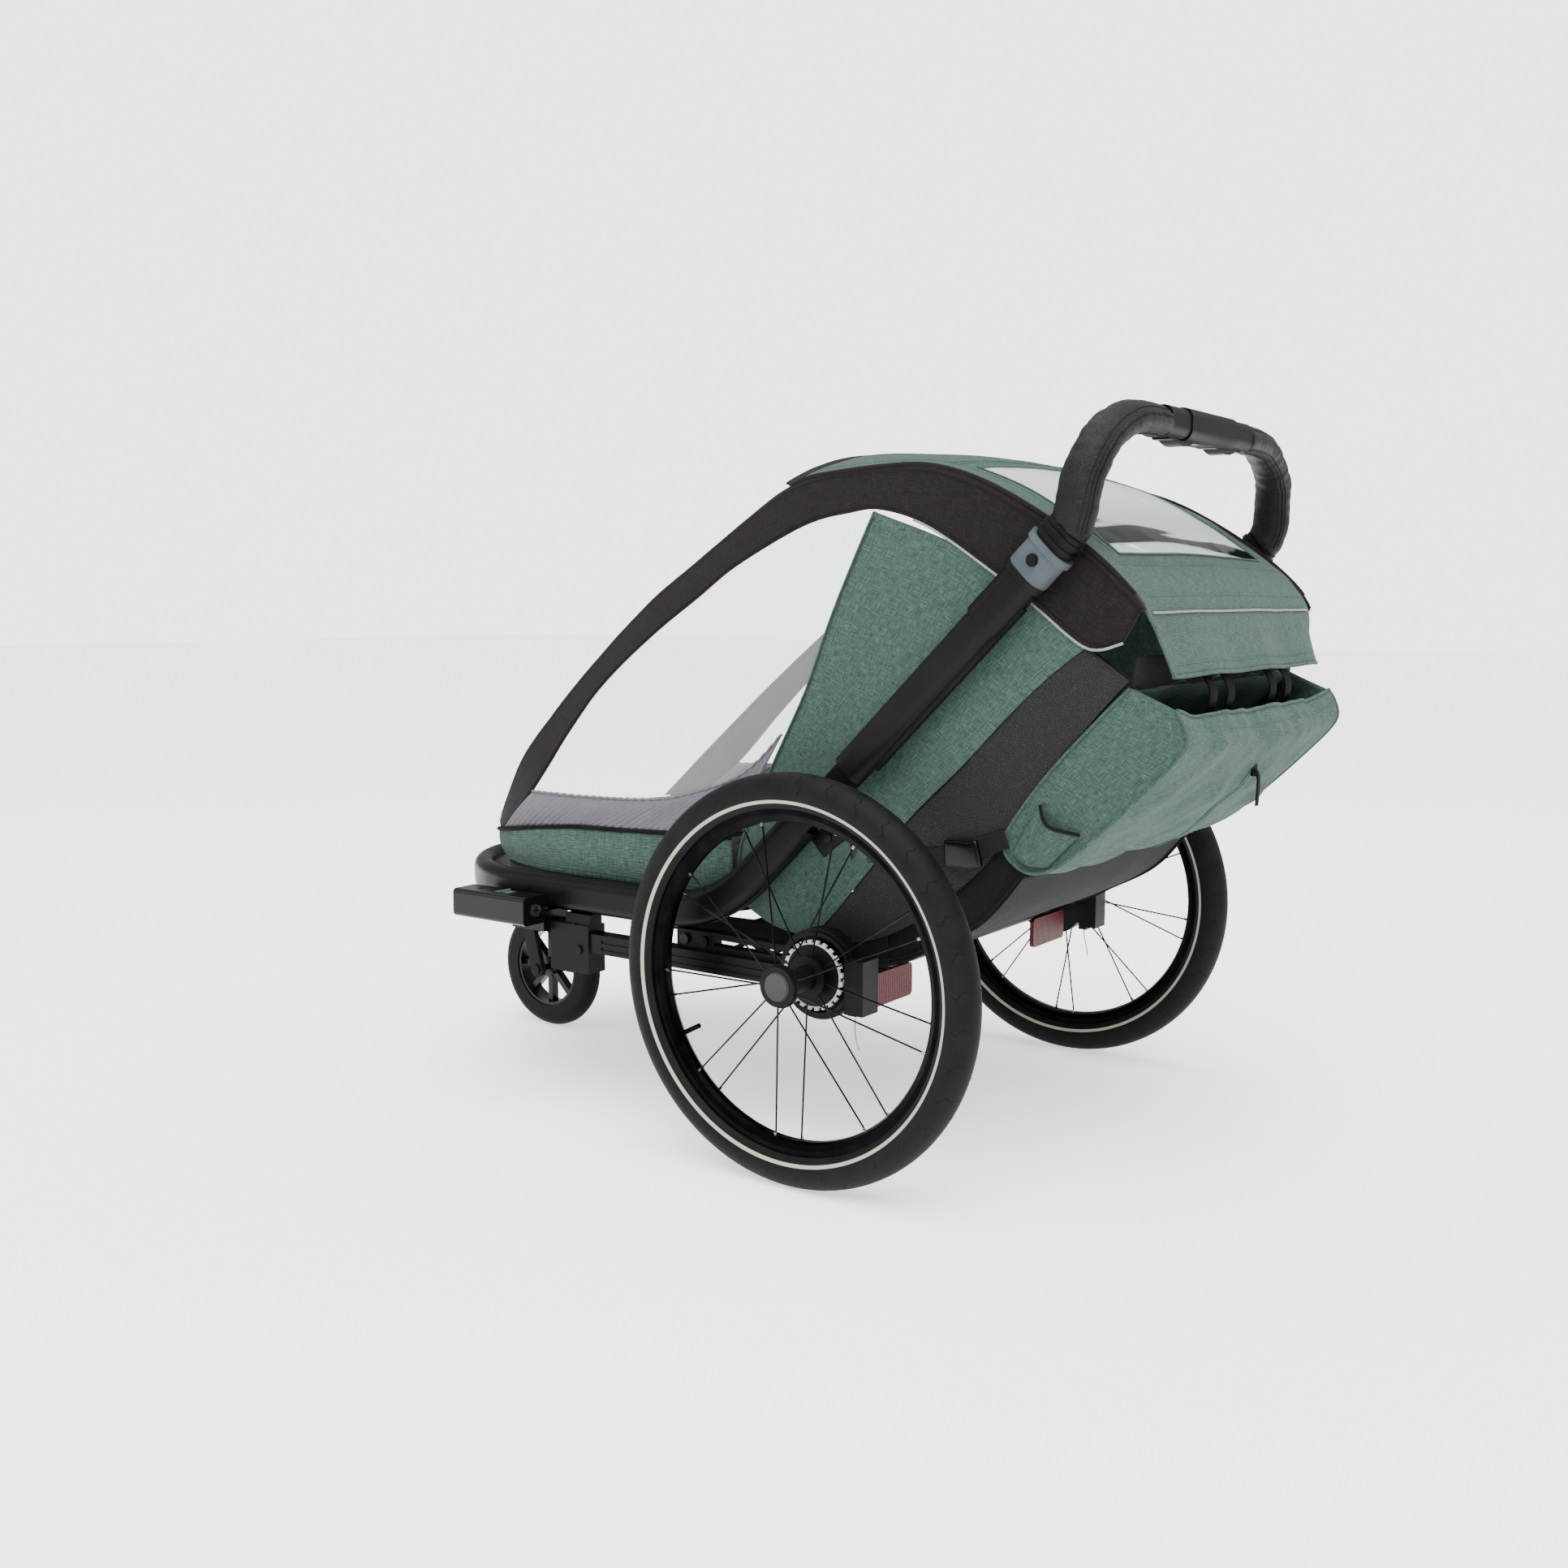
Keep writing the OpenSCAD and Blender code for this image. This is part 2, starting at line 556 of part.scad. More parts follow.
module handle_lever_right() { handle_lever(1); }

// ---- fabric body ----
// side profile of the cabin from the front foot over the roof to the rear: half width, y, z
arch = [[162, 688, 328], [200, 665, 369], [236, 583, 464], [248, 506, 538], [257, 404, 626], [264, 311, 698],
    [270, 223, 752], [275, 142, 802], [278, 83, 834], [279, 28, 848], [280, -53, 854], [280, -120, 853],
    [280.5, -185, 835], [281, -256, 799], [281, -325, 753], [281, -373, 709], [281, -388, 690]];
// lower edge of the side panels, station by station
sill = [[162, 688, 326], [206, 662, 326], [240, 620, 326], [266, 570, 326], [278, 510, 326], [281, 430, 326],
    [281, 340, 326], [281, 250, 326], [281, 170, 318], [281, 100, 297], [281, 30, 277], [281, -50, 268],
    [281, -120, 294], [281, -190, 334], [281, -240, 384], [281, -262, 480], [281, -365, 608]];
panel_steps = [0, 0.33, 0.66, 1];
module side_panel(side) {
    outer = [for (t = panel_steps) [for (i = [1:len(arch) - 1]) lerp(arch[i], sill[i], t)]];
    inner = [for (row = outer) [for (p = row) p - [wall, 0, 0]]];
    color("#5f8274") place() mirrored(side) skin(outer, inner);
}
module side_left() { side_panel(-1); }
module side_right() { side_panel(1); }

// a sheet across the cabin over arch stations from first to last, crowned by rise at its middle
across = [for (k = [0:8]) k / 4 - 1];
module cover(pts, rises, colour) {
    slope = [for (i = [0:len(pts) - 1]) let (t = heading([for (p = pts) [0, p[1], p[2]]], i)) [0, t[2], -t[1]]];
    edge_gap = wall + 2.5;
    outer = [for (i = [0:len(pts) - 1]) [for (a = across)
        [a * (pts[i][0] - edge_gap), pts[i][1], pts[i][2]] + slope[i] * rises[i] * (1 - a * a)]];
    inner = [for (i = [0:len(outer) - 1]) [for (p = outer[i]) p - slope[i] * wall]];
    color(colour) place() skin(outer, inner);
}
module front_cover() {
    // front cover rolled up and strapped under the front edge of the roof
    span = 262;
    roll = [for (k = [0:10]) let (a = k / 5 - 1) [a * span, 104, 800 + 50 * (1 - a * a)]];
    color("#3c4a46") place() sweep(roll, 15, 18, [0, 1, 0], 14);
}
module canopy_roof() {
    start = lerp(arch[8], arch[9], 0.04);
    pts = concat([start], [for (i = [9:16]) arch[i]], [[275, -391, 662], [262, -401, 622]]);
    cover(pts, [54, 45, 30, 19, 11, 6, 4, 3, 3, 2, 2], "#567869");
}

module floor_outline(grow) {
    x = rail_inner - 1 - grow;
    r = corner_r - tube_w / 2 - 1 - grow;
    cx = frame_x - corner_r;
    cy = frame_front - tube_w / 2 - corner_r;
    translate([-x, 178 + grow]) square([2 * x, cy - 178 - grow]);
    for (s = [-1, 1]) translate([s * cx, cy]) circle(r);
    translate([-cx, cy - 1]) square([2 * cx, r + 1]);
}
module floor_pan() {
    // stretched floor with a low rim and an upright apron at the front
    color("#2b2d2c") place() translate([0, 0, 284]) {
        difference() {
            linear_extrude(16) floor_outline(0);
            translate([0, 0, 4]) linear_extrude(20) floor_outline(wall);
        }
        intersection() {
            linear_extrude(86) difference() { floor_outline(0); floor_outline(wall); }
            translate([-188, 600, 0]) cube([376, 200, 100]);
        }
    }
}
module seat_bench() {
    color("#3a3f42") place() translate([-262, 96, 300.4]) rotate([90, 0, 90]) linear_extrude(524)
        polygon([[0, 0], [230, 0], [236, 34], [226, seat_z - 301], [20, seat_z - 312], [0, seat_z - 318]]);
}
module seat_back() {
    lean = 24;
    color("#34393b") place() translate([-250, 92, seat_z - 14]) rotate([lean, 0, 0])
        translate([0, -32, 0]) cube([500, 30, 416]);
}
module boot_bag() {
    // slanting rear pouch, open at its top, and the sheet that closes the luggage space below
    pouch = [[-372, 604], [-396, 596], [-428, 562], [-431, 545], [-398, 508], [-340, 448], [-278, 388],
        [-250, 382], [-222, 406], [-214, 431], [-262, 495]];
    belly = [[172, 280], [100, 278], [30, 272], [-50, 263], [-120, 289], [-188, 329], [-240, 380]];
    half = 262;
    color("#5a7c6e") place() {
        translate([-half, 0, 0]) difference() {
            rotate([90, 0, 90]) linear_extrude(2 * half) polygon(pouch);
            translate([wall, 0, 0]) rotate([90, 0, 90]) linear_extrude(2 * half - 2 * wall)
                offset(delta = -wall) polygon(pouch);
            translate([wall, -408, 578]) rotate([45, 0, 0]) cube([2 * half - 2 * wall, 46, 46]);
        }
        translate([-half, 0, 0]) rotate([90, 0, 90]) linear_extrude(2 * half)
            polygon(concat(belly, [for (i = [len(belly) - 1:-1:0]) belly[i] + [0, wall]]));
    }
}

frame_left();
frame_right();
frame_front();
keel_left();
keel_right();
axle_arm_left();
axle_arm_right();
frame_fasteners();
rear_crossbar();
stub_axles();
brake_housing_left();
brake_housing_right();
brake_pin_left();
brake_pin_right();
brake_wire_left();
brake_wire_right();
reflectors();
tow_receiver();
tow_button();
tow_key();
jogger_socket_left();
jogger_socket_right();
jogger_lever_left();
jogger_lever_right();
caster_mount();
caster_fork();
caster_rim();
caster_tyre();
tyre_left();
tyre_right();
rim_left();
rim_right();
spokes_left();
spokes_right();
hub_left();
hub_right();
brake_ring_left();
brake_ring_right();
hub_cap_left();
hub_cap_right();
post_left();
post_right();
collar_left();
collar_right();
snap_button_left();
snap_button_right();
handle_spigots();
grip_left();
grip_right();
handle_box();
handle_lever_left();
handle_lever_right();
floor_pan();
seat_bench();
seat_back();
canopy_roof();
front_cover();
side_left();
side_right();
boot_bag();
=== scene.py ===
import math
import bmesh
import bpy
import numpy as np
from mathutils import Matrix, Vector, noise


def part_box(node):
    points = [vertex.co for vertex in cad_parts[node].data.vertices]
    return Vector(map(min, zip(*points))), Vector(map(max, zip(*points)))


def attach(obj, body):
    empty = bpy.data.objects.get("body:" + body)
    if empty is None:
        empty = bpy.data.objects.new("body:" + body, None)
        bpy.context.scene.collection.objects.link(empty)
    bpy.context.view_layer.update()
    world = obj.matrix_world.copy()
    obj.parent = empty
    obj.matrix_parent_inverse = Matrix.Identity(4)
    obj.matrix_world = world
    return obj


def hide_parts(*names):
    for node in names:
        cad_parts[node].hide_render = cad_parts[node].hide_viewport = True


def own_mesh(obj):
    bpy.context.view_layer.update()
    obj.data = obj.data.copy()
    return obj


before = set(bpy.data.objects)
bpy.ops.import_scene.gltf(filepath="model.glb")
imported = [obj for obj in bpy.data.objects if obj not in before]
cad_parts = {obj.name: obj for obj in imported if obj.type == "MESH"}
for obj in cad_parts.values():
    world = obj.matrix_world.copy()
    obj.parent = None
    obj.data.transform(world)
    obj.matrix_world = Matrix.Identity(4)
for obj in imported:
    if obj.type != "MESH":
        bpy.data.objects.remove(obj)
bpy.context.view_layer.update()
wheelLow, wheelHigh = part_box("tyre_left")
# lengths below are in mm, measured from the point on the ground under the axle
axleY = (wheelLow[1] + wheelHigh[1]) / 2
wheelX = abs(wheelLow[0] + wheelHigh[0]) / 2
wheelZ = (wheelLow[2] + wheelHigh[2]) / 2
casterLow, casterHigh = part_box("caster_tyre")
print("frame loaded, axle at", round(axleY, 4))

# camera: eye in mm, angles in degrees
cameraView = {"eye": (-1913.9, -1085.9, 704.3), "yaw": 54.427, "pitch": 6.611, "roll": 0.1985, "lens": 37.25}


def toRow(points):  # mm in the axle frame to metres in the row frame
    p = np.atleast_2d(np.asarray(points, float)) / 1000
    p[:, 1] += axleY
    return p


def addCamera(v):
    yaw, pitch, roll = (math.radians(v[k]) for k in ("yaw", "pitch", "roll"))
    look = Vector((math.sin(yaw) * math.cos(pitch), math.cos(yaw) * math.cos(pitch), -math.sin(pitch)))
    right = Vector((math.cos(yaw), -math.sin(yaw), 0))
    up = right.cross(look)
    side = right * math.cos(roll) + up * math.sin(roll)
    top = up * math.cos(roll) - right * math.sin(roll)
    data = bpy.data.cameras.new("camera")
    data.lens, data.sensor_width, data.clip_end = v["lens"], 36, 60
    cam = bpy.data.objects.new("camera", data)
    turn = Matrix((side, top, -look)).transposed().to_4x4()
    cam.matrix_world = Matrix.Translation(Vector(toRow(v["eye"])[0])) @ turn
    bpy.context.scene.collection.objects.link(cam)
    bpy.context.scene.camera = cam


addCamera(cameraView)


# materials
def colour(code):  # sRGB hex to linear
    parts = [int(code[i:i + 2], 16) / 255 for i in (1, 3, 5)]
    return tuple(c / 12.92 if c <= 0.04045 else ((c + 0.055) / 1.055) ** 2.4 for c in parts) + (1.0,)


def node(tree, kind, inputs=None, **settings):
    n = tree.nodes.new(kind)
    for key, value in settings.items():
        setattr(n, key, value)
    for key, value in (inputs or {}).items():
        if isinstance(value, bpy.types.NodeSocket):
            tree.links.new(value, n.inputs[key])
        else:
            n.inputs[key].default_value = value
    return n


def newMaterial(name, **inputs):
    mat = bpy.data.materials.new(name)
    mat.use_nodes = True
    tree = mat.node_tree
    tree.nodes.clear()
    shader = node(tree, "ShaderNodeBsdfPrincipled", inputs)
    node(tree, "ShaderNodeOutputMaterial", {"Surface": shader.outputs[0]})
    return mat, tree, shader


def maths(tree, operation, a, b=0.0, c=0.0):
    return node(tree, "ShaderNodeMath", {0: a, 1: b, 2: c}, operation=operation).outputs[0]


def mixColours(tree, factor, a, b):
    n = node(tree, "ShaderNodeMix", {0: factor, 6: a, 7: b}, data_type="RGBA")
    return n.outputs[2]


# soft uneven colour and roughness over some centimetres
def wornColour(tree, shader, where, base, light, sizeMm):
    patch = node(tree, "ShaderNodeTexNoise", {"Vector": where, "Scale": 1000 / sizeMm,
                                              "Detail": 4.0}).outputs[0]
    spread = node(tree, "ShaderNodeMapRange", {0: patch, 1: 0.35, 2: 0.7}).outputs[0]
    tree.links.new(mixColours(tree, spread, colour(base), colour(light)), shader.inputs["Base Color"])
    return spread


def weave(tree, uv, threadMm, bumpMm):  # crossed threads, thread spacing in mm
    scale = 314 / threadMm
    warp = node(tree, "ShaderNodeTexWave", {"Vector": uv, "Scale": scale, "Distortion": 0.6, "Detail": 1.0},
                bands_direction="X").outputs[1]
    weft = node(tree, "ShaderNodeTexWave", {"Vector": uv, "Scale": scale, "Distortion": 0.6, "Detail": 1.0},
                bands_direction="Y").outputs[1]
    height = maths(tree, "MULTIPLY", warp, weft)
    return height, node(tree, "ShaderNodeBump", {"Height": height, "Distance": bumpMm / 1000,
                                                 "Strength": 0.8}).outputs[0]


def makeCloth(name, base, light, dark, threadMm=1.8, bumpMm=0.35, roughness=0.9, sheen=0.06, streakAndPaintedReflection=1.0):
    mat, tree, shader = newMaterial(name, Roughness=roughness)
    shader.inputs["Sheen Weight"].default_value = sheen
    shader.inputs["Sheen Roughness"].default_value = 0.5
    shader.inputs["Specular IOR Level"].default_value = 0.15
    uv = node(tree, "ShaderNodeTexCoord").outputs["UV"]
    height, bump = weave(tree, uv, threadMm, bumpMm)
    # melange yarn: threads a few cm long, one thread wide, lighter and darker than the ground
    along = node(tree, "ShaderNodeMapping", {"Vector": uv, "Scale": (80, 1300, 1)}).outputs[0]
    cross = node(tree, "ShaderNodeMapping", {"Vector": uv, "Scale": (1300, 80, 1)}).outputs[0]
    a = node(tree, "ShaderNodeTexNoise", {"Vector": along, "Scale": 1.0, "Detail": 2.0}).outputs[0]
    b = node(tree, "ShaderNodeTexNoise", {"Vector": cross, "Scale": 1.0, "Detail": 2.0}).outputs[0]
    both = maths(tree, "ADD", a, b)
    pale = node(tree, "ShaderNodeMapRange", {0: both, 1: 1.0, 2: 1.25, 4: 0.9 * streakAndPaintedReflection}).outputs[0]
    deep = node(tree, "ShaderNodeMapRange", {0: both, 1: 1.0, 2: 0.75, 4: 0.9 * streakAndPaintedReflection}).outputs[0]
    tone = mixColours(tree, pale, colour(base), colour(light))
    tone = mixColours(tree, deep, tone, colour(dark))
    # painted light and shade: the colour is lighter on the raised threads and darker in the gaps of the weave
    shade = maths(tree, "MULTIPLY_ADD", height, 0.25, 0.82)
    tone = node(tree, "ShaderNodeVectorMath", {0: tone, 3: shade}, operation="SCALE").outputs[0]
    tree.links.new(tone, shader.inputs["Base Color"])
    tree.links.new(bump, shader.inputs["Normal"])
    return mat


def makePlastic(name, base, light, roughness, grainMm=0.9, bumpMm=0.03, coat=0.0, specular=0.1):
    mat, tree, shader = newMaterial(name)
    shader.inputs["Coat Weight"].default_value = coat
    shader.inputs["Coat Roughness"].default_value = 0.2
    shader.inputs["Specular IOR Level"].default_value = specular
    where = node(tree, "ShaderNodeTexCoord").outputs["Object"]
    spread = wornColour(tree, shader, where, base, light, 60)
    grain = node(tree, "ShaderNodeTexNoise", {"Vector": where, "Scale": 1000 / grainMm,
                                              "Detail": 3.0}).outputs[0]
    tree.links.new(maths(tree, "MULTIPLY_ADD", spread, 0.12, roughness - 0.06), shader.inputs["Roughness"])
    tree.links.new(node(tree, "ShaderNodeBump", {"Height": grain, "Distance": bumpMm / 1000}).outputs[0],
                   shader.inputs["Normal"])
    return mat


def makeMetal(name, base, light, roughness, brushMm=0.5, along=(1, 1, 0.03)):
    mat, tree, shader = newMaterial(name, Metallic=1.0)
    where = node(tree, "ShaderNodeTexCoord").outputs["Object"]
    wornColour(tree, shader, where, base, light, 25)
    lines = node(tree, "ShaderNodeMapping", {"Vector": where,
                                             "Scale": tuple(1000 / brushMm * k for k in along)}).outputs[0]
    brush = node(tree, "ShaderNodeTexNoise", {"Vector": lines, "Scale": 1.0, "Detail": 2.0}).outputs[0]
    tree.links.new(maths(tree, "MULTIPLY_ADD", brush, 0.2, roughness - 0.1), shader.inputs["Roughness"])
    tree.links.new(node(tree, "ShaderNodeBump", {"Height": brush, "Distance": 0.00003}).outputs[0],
                   shader.inputs["Normal"])
    return mat


def makeLeather(name):  # smooth grained hide: fine pebble cells, soft gloss on the crowns
    mat, tree, shader = newMaterial(name)
    shader.inputs["Specular IOR Level"].default_value = 0.16
    where = node(tree, "ShaderNodeTexCoord").outputs["Object"]
    wobble = node(tree, "ShaderNodeTexNoise", {"Vector": where, "Scale": 90.0},
                  noise_dimensions="3D").outputs[1]
    bent = node(tree, "ShaderNodeVectorMath", {0: wobble, 1: (0.004, 0.004, 0.004), 2: where},
                operation="MULTIPLY_ADD").outputs[0]
    cells = node(tree, "ShaderNodeTexVoronoi", {"Vector": bent, "Scale": 480.0},
                 feature="DISTANCE_TO_EDGE").outputs[0]
    pebble = node(tree, "ShaderNodeMapRange", {0: cells, 1: 0.0, 2: 0.25}).outputs[0]
    wornColour(tree, shader, where, "#060607", "#111113", 35)
    tree.links.new(maths(tree, "MULTIPLY_ADD", pebble, -0.14, 0.52), shader.inputs["Roughness"])
    tree.links.new(node(tree, "ShaderNodeBump", {"Height": pebble, "Distance": 0.00035,
                                                 "Strength": 0.8}).outputs[0], shader.inputs["Normal"])
    return mat


# glossy clear vinyl: nearly invisible face on, bright at a low angle
def makeClearFilm(name, milk, facing, edgeOn, paintedReflectionY=None):
    mat, tree, shader = newMaterial(name, Roughness=0.12, **{"Base Color": colour(milk)})
    out = [n for n in tree.nodes if n.type == "OUTPUT_MATERIAL"][0]
    uv = node(tree, "ShaderNodeTexCoord").outputs["UV"]
    ripple = node(tree, "ShaderNodeTexNoise", {"Vector": uv, "Scale": 9.0, "Detail": 2.0}).outputs[0]
    bump = node(tree, "ShaderNodeBump", {"Height": ripple, "Distance": 0.004, "Strength": 0.5}).outputs[0]
    tree.links.new(bump, shader.inputs["Normal"])
    rim = node(tree, "ShaderNodeLayerWeight", {"Blend": 0.25, "Normal": bump}).outputs["Facing"]
    amount = node(tree, "ShaderNodeMapRange", {0: rim, 3: facing, 4: edgeOn}).outputs[0]
    if paintedReflectionY is not None:  # painted reflection: dark streaks painted into the colour near the rear edge, where the folds mirror something dark
        where = node(tree, "ShaderNodeTexCoord").outputs["Object"]
        y = node(tree, "ShaderNodeSeparateXYZ", {0: where}).outputs[1]
        flat = node(tree, "ShaderNodeMapping", {"Vector": where, "Scale": (2.6, 30, 4)}).outputs[0]
        wave = node(tree, "ShaderNodeTexNoise", {"Vector": flat, "Scale": 1.0, "Detail": 1.0,
                                                 "Distortion": 0.35}).outputs[0]
        near = band(tree, y, paintedReflectionY, 0.02, 0.04)
        streakAndPaintedReflection = node(tree, "ShaderNodeMapRange", {0: maths(tree, "MULTIPLY", wave, near), 1: 0.46,
                                                   2: 0.49}).outputs[0]
        tree.links.new(mixColours(tree, streakAndPaintedReflection, colour(milk), colour("#0b0b0c")), shader.inputs["Base Color"])
        tree.links.new(maths(tree, "MULTIPLY_ADD", streakAndPaintedReflection, -0.45, 0.5), shader.inputs["Specular IOR Level"])
        amount = maths(tree, "MAXIMUM", amount, maths(tree, "MULTIPLY", streakAndPaintedReflection, 0.93))
    clear = node(tree, "ShaderNodeBsdfTransparent", {"Color": colour("#fbfcfc")})
    mixed = node(tree, "ShaderNodeMixShader", {0: amount, 1: clear.outputs[0], 2: shader.outputs[0]})
    tree.links.new(mixed.outputs[0], out.inputs["Surface"])
    return mat


# knitted mesh: hexagonal holes drawn at hole spacing, seen through a little
def makeNet(name, base, holeMm, coverage):
    mat, tree, shader = newMaterial(name, Roughness=0.8, **{"Base Color": colour(base)})
    out = [n for n in tree.nodes if n.type == "OUTPUT_MATERIAL"][0]
    uv = node(tree, "ShaderNodeTexCoord").outputs["UV"]
    cells = node(tree, "ShaderNodeTexVoronoi", {"Vector": uv, "Scale": 1000 / holeMm, "Randomness": 0.15},
                 voronoi_dimensions="2D").outputs[0]
    solid = node(tree, "ShaderNodeMapRange", {0: cells, 1: coverage - 0.06, 2: coverage + 0.06}).outputs[0]
    clear = node(tree, "ShaderNodeBsdfTransparent")
    mixed = node(tree, "ShaderNodeMixShader", {0: solid, 1: clear.outputs[0], 2: shader.outputs[0]})
    tree.links.new(mixed.outputs[0], out.inputs["Surface"])
    return mat


def polar(tree, centre):  # radius and turn (0 to 1) about a wheel's axle
    where = node(tree, "ShaderNodeTexCoord").outputs["Object"]
    moved = node(tree, "ShaderNodeVectorMath", {0: where, 1: centre}, operation="SUBTRACT").outputs[0]
    _, y, z = node(tree, "ShaderNodeSeparateXYZ", {0: moved}).outputs
    r = maths(tree, "SQRT", maths(tree, "ADD", maths(tree, "MULTIPLY", y, y), maths(tree, "MULTIPLY", z, z)))
    turn = maths(tree, "DIVIDE", maths(tree, "ARCTAN2", z, y), 2 * math.pi)
    return where, r, turn


def band(tree, value, middle, half, soft):  # 1 inside middle +- half
    away = maths(tree, "ABSOLUTE", maths(tree, "SUBTRACT", value, middle))
    return node(tree, "ShaderNodeMapRange", {0: away, 1: half + soft, 2: half, 3: 0.0, 4: 1.0}).outputs[0]


# matt black rubber with a reflective ring and zigzag sipes
def makeTyre(name, centre, stripeRadius, sipeFrom, sipeTo, sipes):
    mat, tree, shader = newMaterial(name)
    shader.inputs["Specular IOR Level"].default_value = 0.12
    where, r, turn = polar(tree, centre)
    spread = wornColour(tree, shader, where, "#060606", "#101010", 30)
    patch = shader.inputs["Base Color"].links[0].from_socket
    across = node(tree, "ShaderNodeMapRange", {0: r, 1: sipeFrom, 2: sipeTo}, clamp=False).outputs[0]
    zig = maths(tree, "PINGPONG", maths(tree, "MULTIPLY", across, 1.6), 0.5)
    slanted = maths(tree, "MULTIPLY_ADD", across, 0.22, maths(tree, "MULTIPLY", zig, -0.3))
    place = maths(tree, "FRACT", maths(tree, "ADD", maths(tree, "MULTIPLY", turn, sipes), slanted))
    line = band(tree, place, 0.5, 0.012, 0.01)
    inside = band(tree, r, (sipeFrom + sipeTo) / 2, (sipeTo - sipeFrom) / 2, 0.0005)
    cut = maths(tree, "MULTIPLY", line, inside)
    # painted shade: the sipe cuts are painted near black as well as cut into the bump
    dark = mixColours(tree, maths(tree, "MULTIPLY", cut, 0.85), patch, colour("#010101"))
    if stripeRadius:
        ring = band(tree, r, stripeRadius, 0.0019, 0.0003)
        dark = mixColours(tree, ring, dark, colour("#a0988d"))
    tree.links.new(dark, shader.inputs["Base Color"])
    pores = node(tree, "ShaderNodeTexNoise", {"Vector": where, "Scale": 900.0, "Detail": 3.0}).outputs[0]
    height = maths(tree, "SUBTRACT", maths(tree, "MULTIPLY", pores, 0.12), cut)
    tree.links.new(node(tree, "ShaderNodeBump", {"Height": height, "Distance": 0.0008}).outputs[0],
                   shader.inputs["Normal"])
    tree.links.new(maths(tree, "MULTIPLY_ADD", spread, 0.1, 0.62), shader.inputs["Roughness"])
    return mat


def makePrism(name):  # moulded red reflector: rows of small corner cubes behind a clear face
    mat, tree, shader = newMaterial(name, Roughness=0.3)
    shader.inputs["Specular IOR Level"].default_value = 0.2
    where = node(tree, "ShaderNodeTexCoord").outputs["Object"]
    cells = node(tree, "ShaderNodeTexVoronoi", {"Vector": where, "Scale": 330.0, "Randomness": 0.1},
                 feature="F1")
    # painted light and shade: each prism cell is painted brighter red at its middle and darker red towards its
    # rim
    tone = mixColours(tree, cells.outputs[0], colour("#5a0206"), colour("#1c0102"))
    tree.links.new(tone, shader.inputs["Base Color"])
    tree.links.new(node(tree, "ShaderNodeBump", {"Height": cells.outputs[0], "Distance": 0.001}).outputs[0],
                   shader.inputs["Normal"])
    return mat


# woven melange polyester, matt: two tones of sage yarn that show as fine crossed flecks (drawn coarser than
# the real 0.4 mm yarn)
sageCloth = makeCloth("wovenMelangePolyester", "#344942", "#52665f", "#1e2e29", streakAndPaintedReflection=0.8)
# coated polyester edging, woven: a deep warm brown with no gloss
brownCloth = makeCloth("wovenCoatedEdging", "#120d0c", "#221a19", "#080606", threadMm=1.4, sheen=0.05)
# plain woven polyester, dyed black: flat and soft, only folds show
darkCloth = makeCloth("wovenDarkPolyester", "#070808", "#101112", "#030303", sheen=0.04)
# gathered elastic nylon: smooth grey with a faint sheen on the gathers
elasticCloth = makeCloth("gatheredElasticNylon", "#66636a", "#7c797f", "#4f4c53", threadMm=1.2, bumpMm=0.15,
                         roughness=0.6, streakAndPaintedReflection=0.5)
# ribbed polyester webbing: dull black with cross ribs
webbing = makeCloth("ribbedPolyesterWebbing", "#070708", "#121213", "#030303", threadMm=2.2, bumpMm=0.5,
                    roughness=0.7, sheen=0.05, streakAndPaintedReflection=0.6)
# smooth nylon tape: plain black bands
loopWebbing = makePlastic("smoothNylonTape", "#030303", "#080808", 0.7, grainMm=1.2, bumpMm=0.1, specular=0.06)
# reflective piping, glass beads on tape: a thin pale line
piping = makeCloth("reflectivePiping", "#7f8483", "#9a9f9e", "#6a6e6d", threadMm=1.0, bumpMm=0.1,
                   roughness=0.4, sheen=0.0)
# knitted net: near black with small holes that let a little through
netCloth = makeNet("knittedNet", "#040405", 2.6, 0.26)
# clear vinyl sheet: milky gloss at a low angle, a painted dark reflection in streaks near the rear edge
clearFilm = makeClearFilm("clearVinyl", "#dfe5e8", 0.16, 0.85, paintedReflectionY=axleY - 0.302)
# thin clear vinyl: almost unseen but for a light veil
sideFilm = makeClearFilm("clearVinylThin", "#f4f7f8", 0.06, 0.30)
# grained leather: fine pebbles with soft gloss on their crowns
leather = makeLeather("grainedLeather")
# polyester sewing thread: short matt black dashes
threadMat = makePlastic("sewingThread", "#070707", "#151516", 0.7)
# sage sewing thread: dashes a shade darker than the cloth
paleThread = makePlastic("sewingThreadSage", "#3f6054", "#4d7063", 0.7)
# satin powder coat on steel tube: black, fine orange peel
paintMat = makePlastic("satinPowderCoat", "#040405", "#0a0a0b", 0.38, grainMm=1.4, bumpMm=0.05)
# anodised tube: even matt black, blurred highlights along the tube
postMat = makePlastic("mattAnodisedTube", "#070708", "#0f0f10", 0.45, grainMm=0.8, bumpMm=0.03)
# moulded nylon with spark-eroded grain: black, slightly rough
mouldMat = makePlastic("mouldedNylon", "#060606", "#0e0e0f", 0.5, grainMm=0.7, bumpMm=0.06)
# polished nylon: black with clearer highlights than the grained parts
glossMould = makePlastic("polishedNylon", "#040404", "#0a0a0b", 0.3, grainMm=0.7, bumpMm=0.02, coat=0.2)
# moulded grey nylon: cool blue grey, slight sheen
greyMould = makePlastic("mouldedGreyNylon", "#373f43", "#474f53", 0.42, grainMm=0.7, bumpMm=0.05)
# rubber coated cap: soft dark grey, no sharp light
capMould = makePlastic("rubberisedCap", "#2c2d2e", "#3a3b3c", 0.6, grainMm=0.6, bumpMm=0.05)
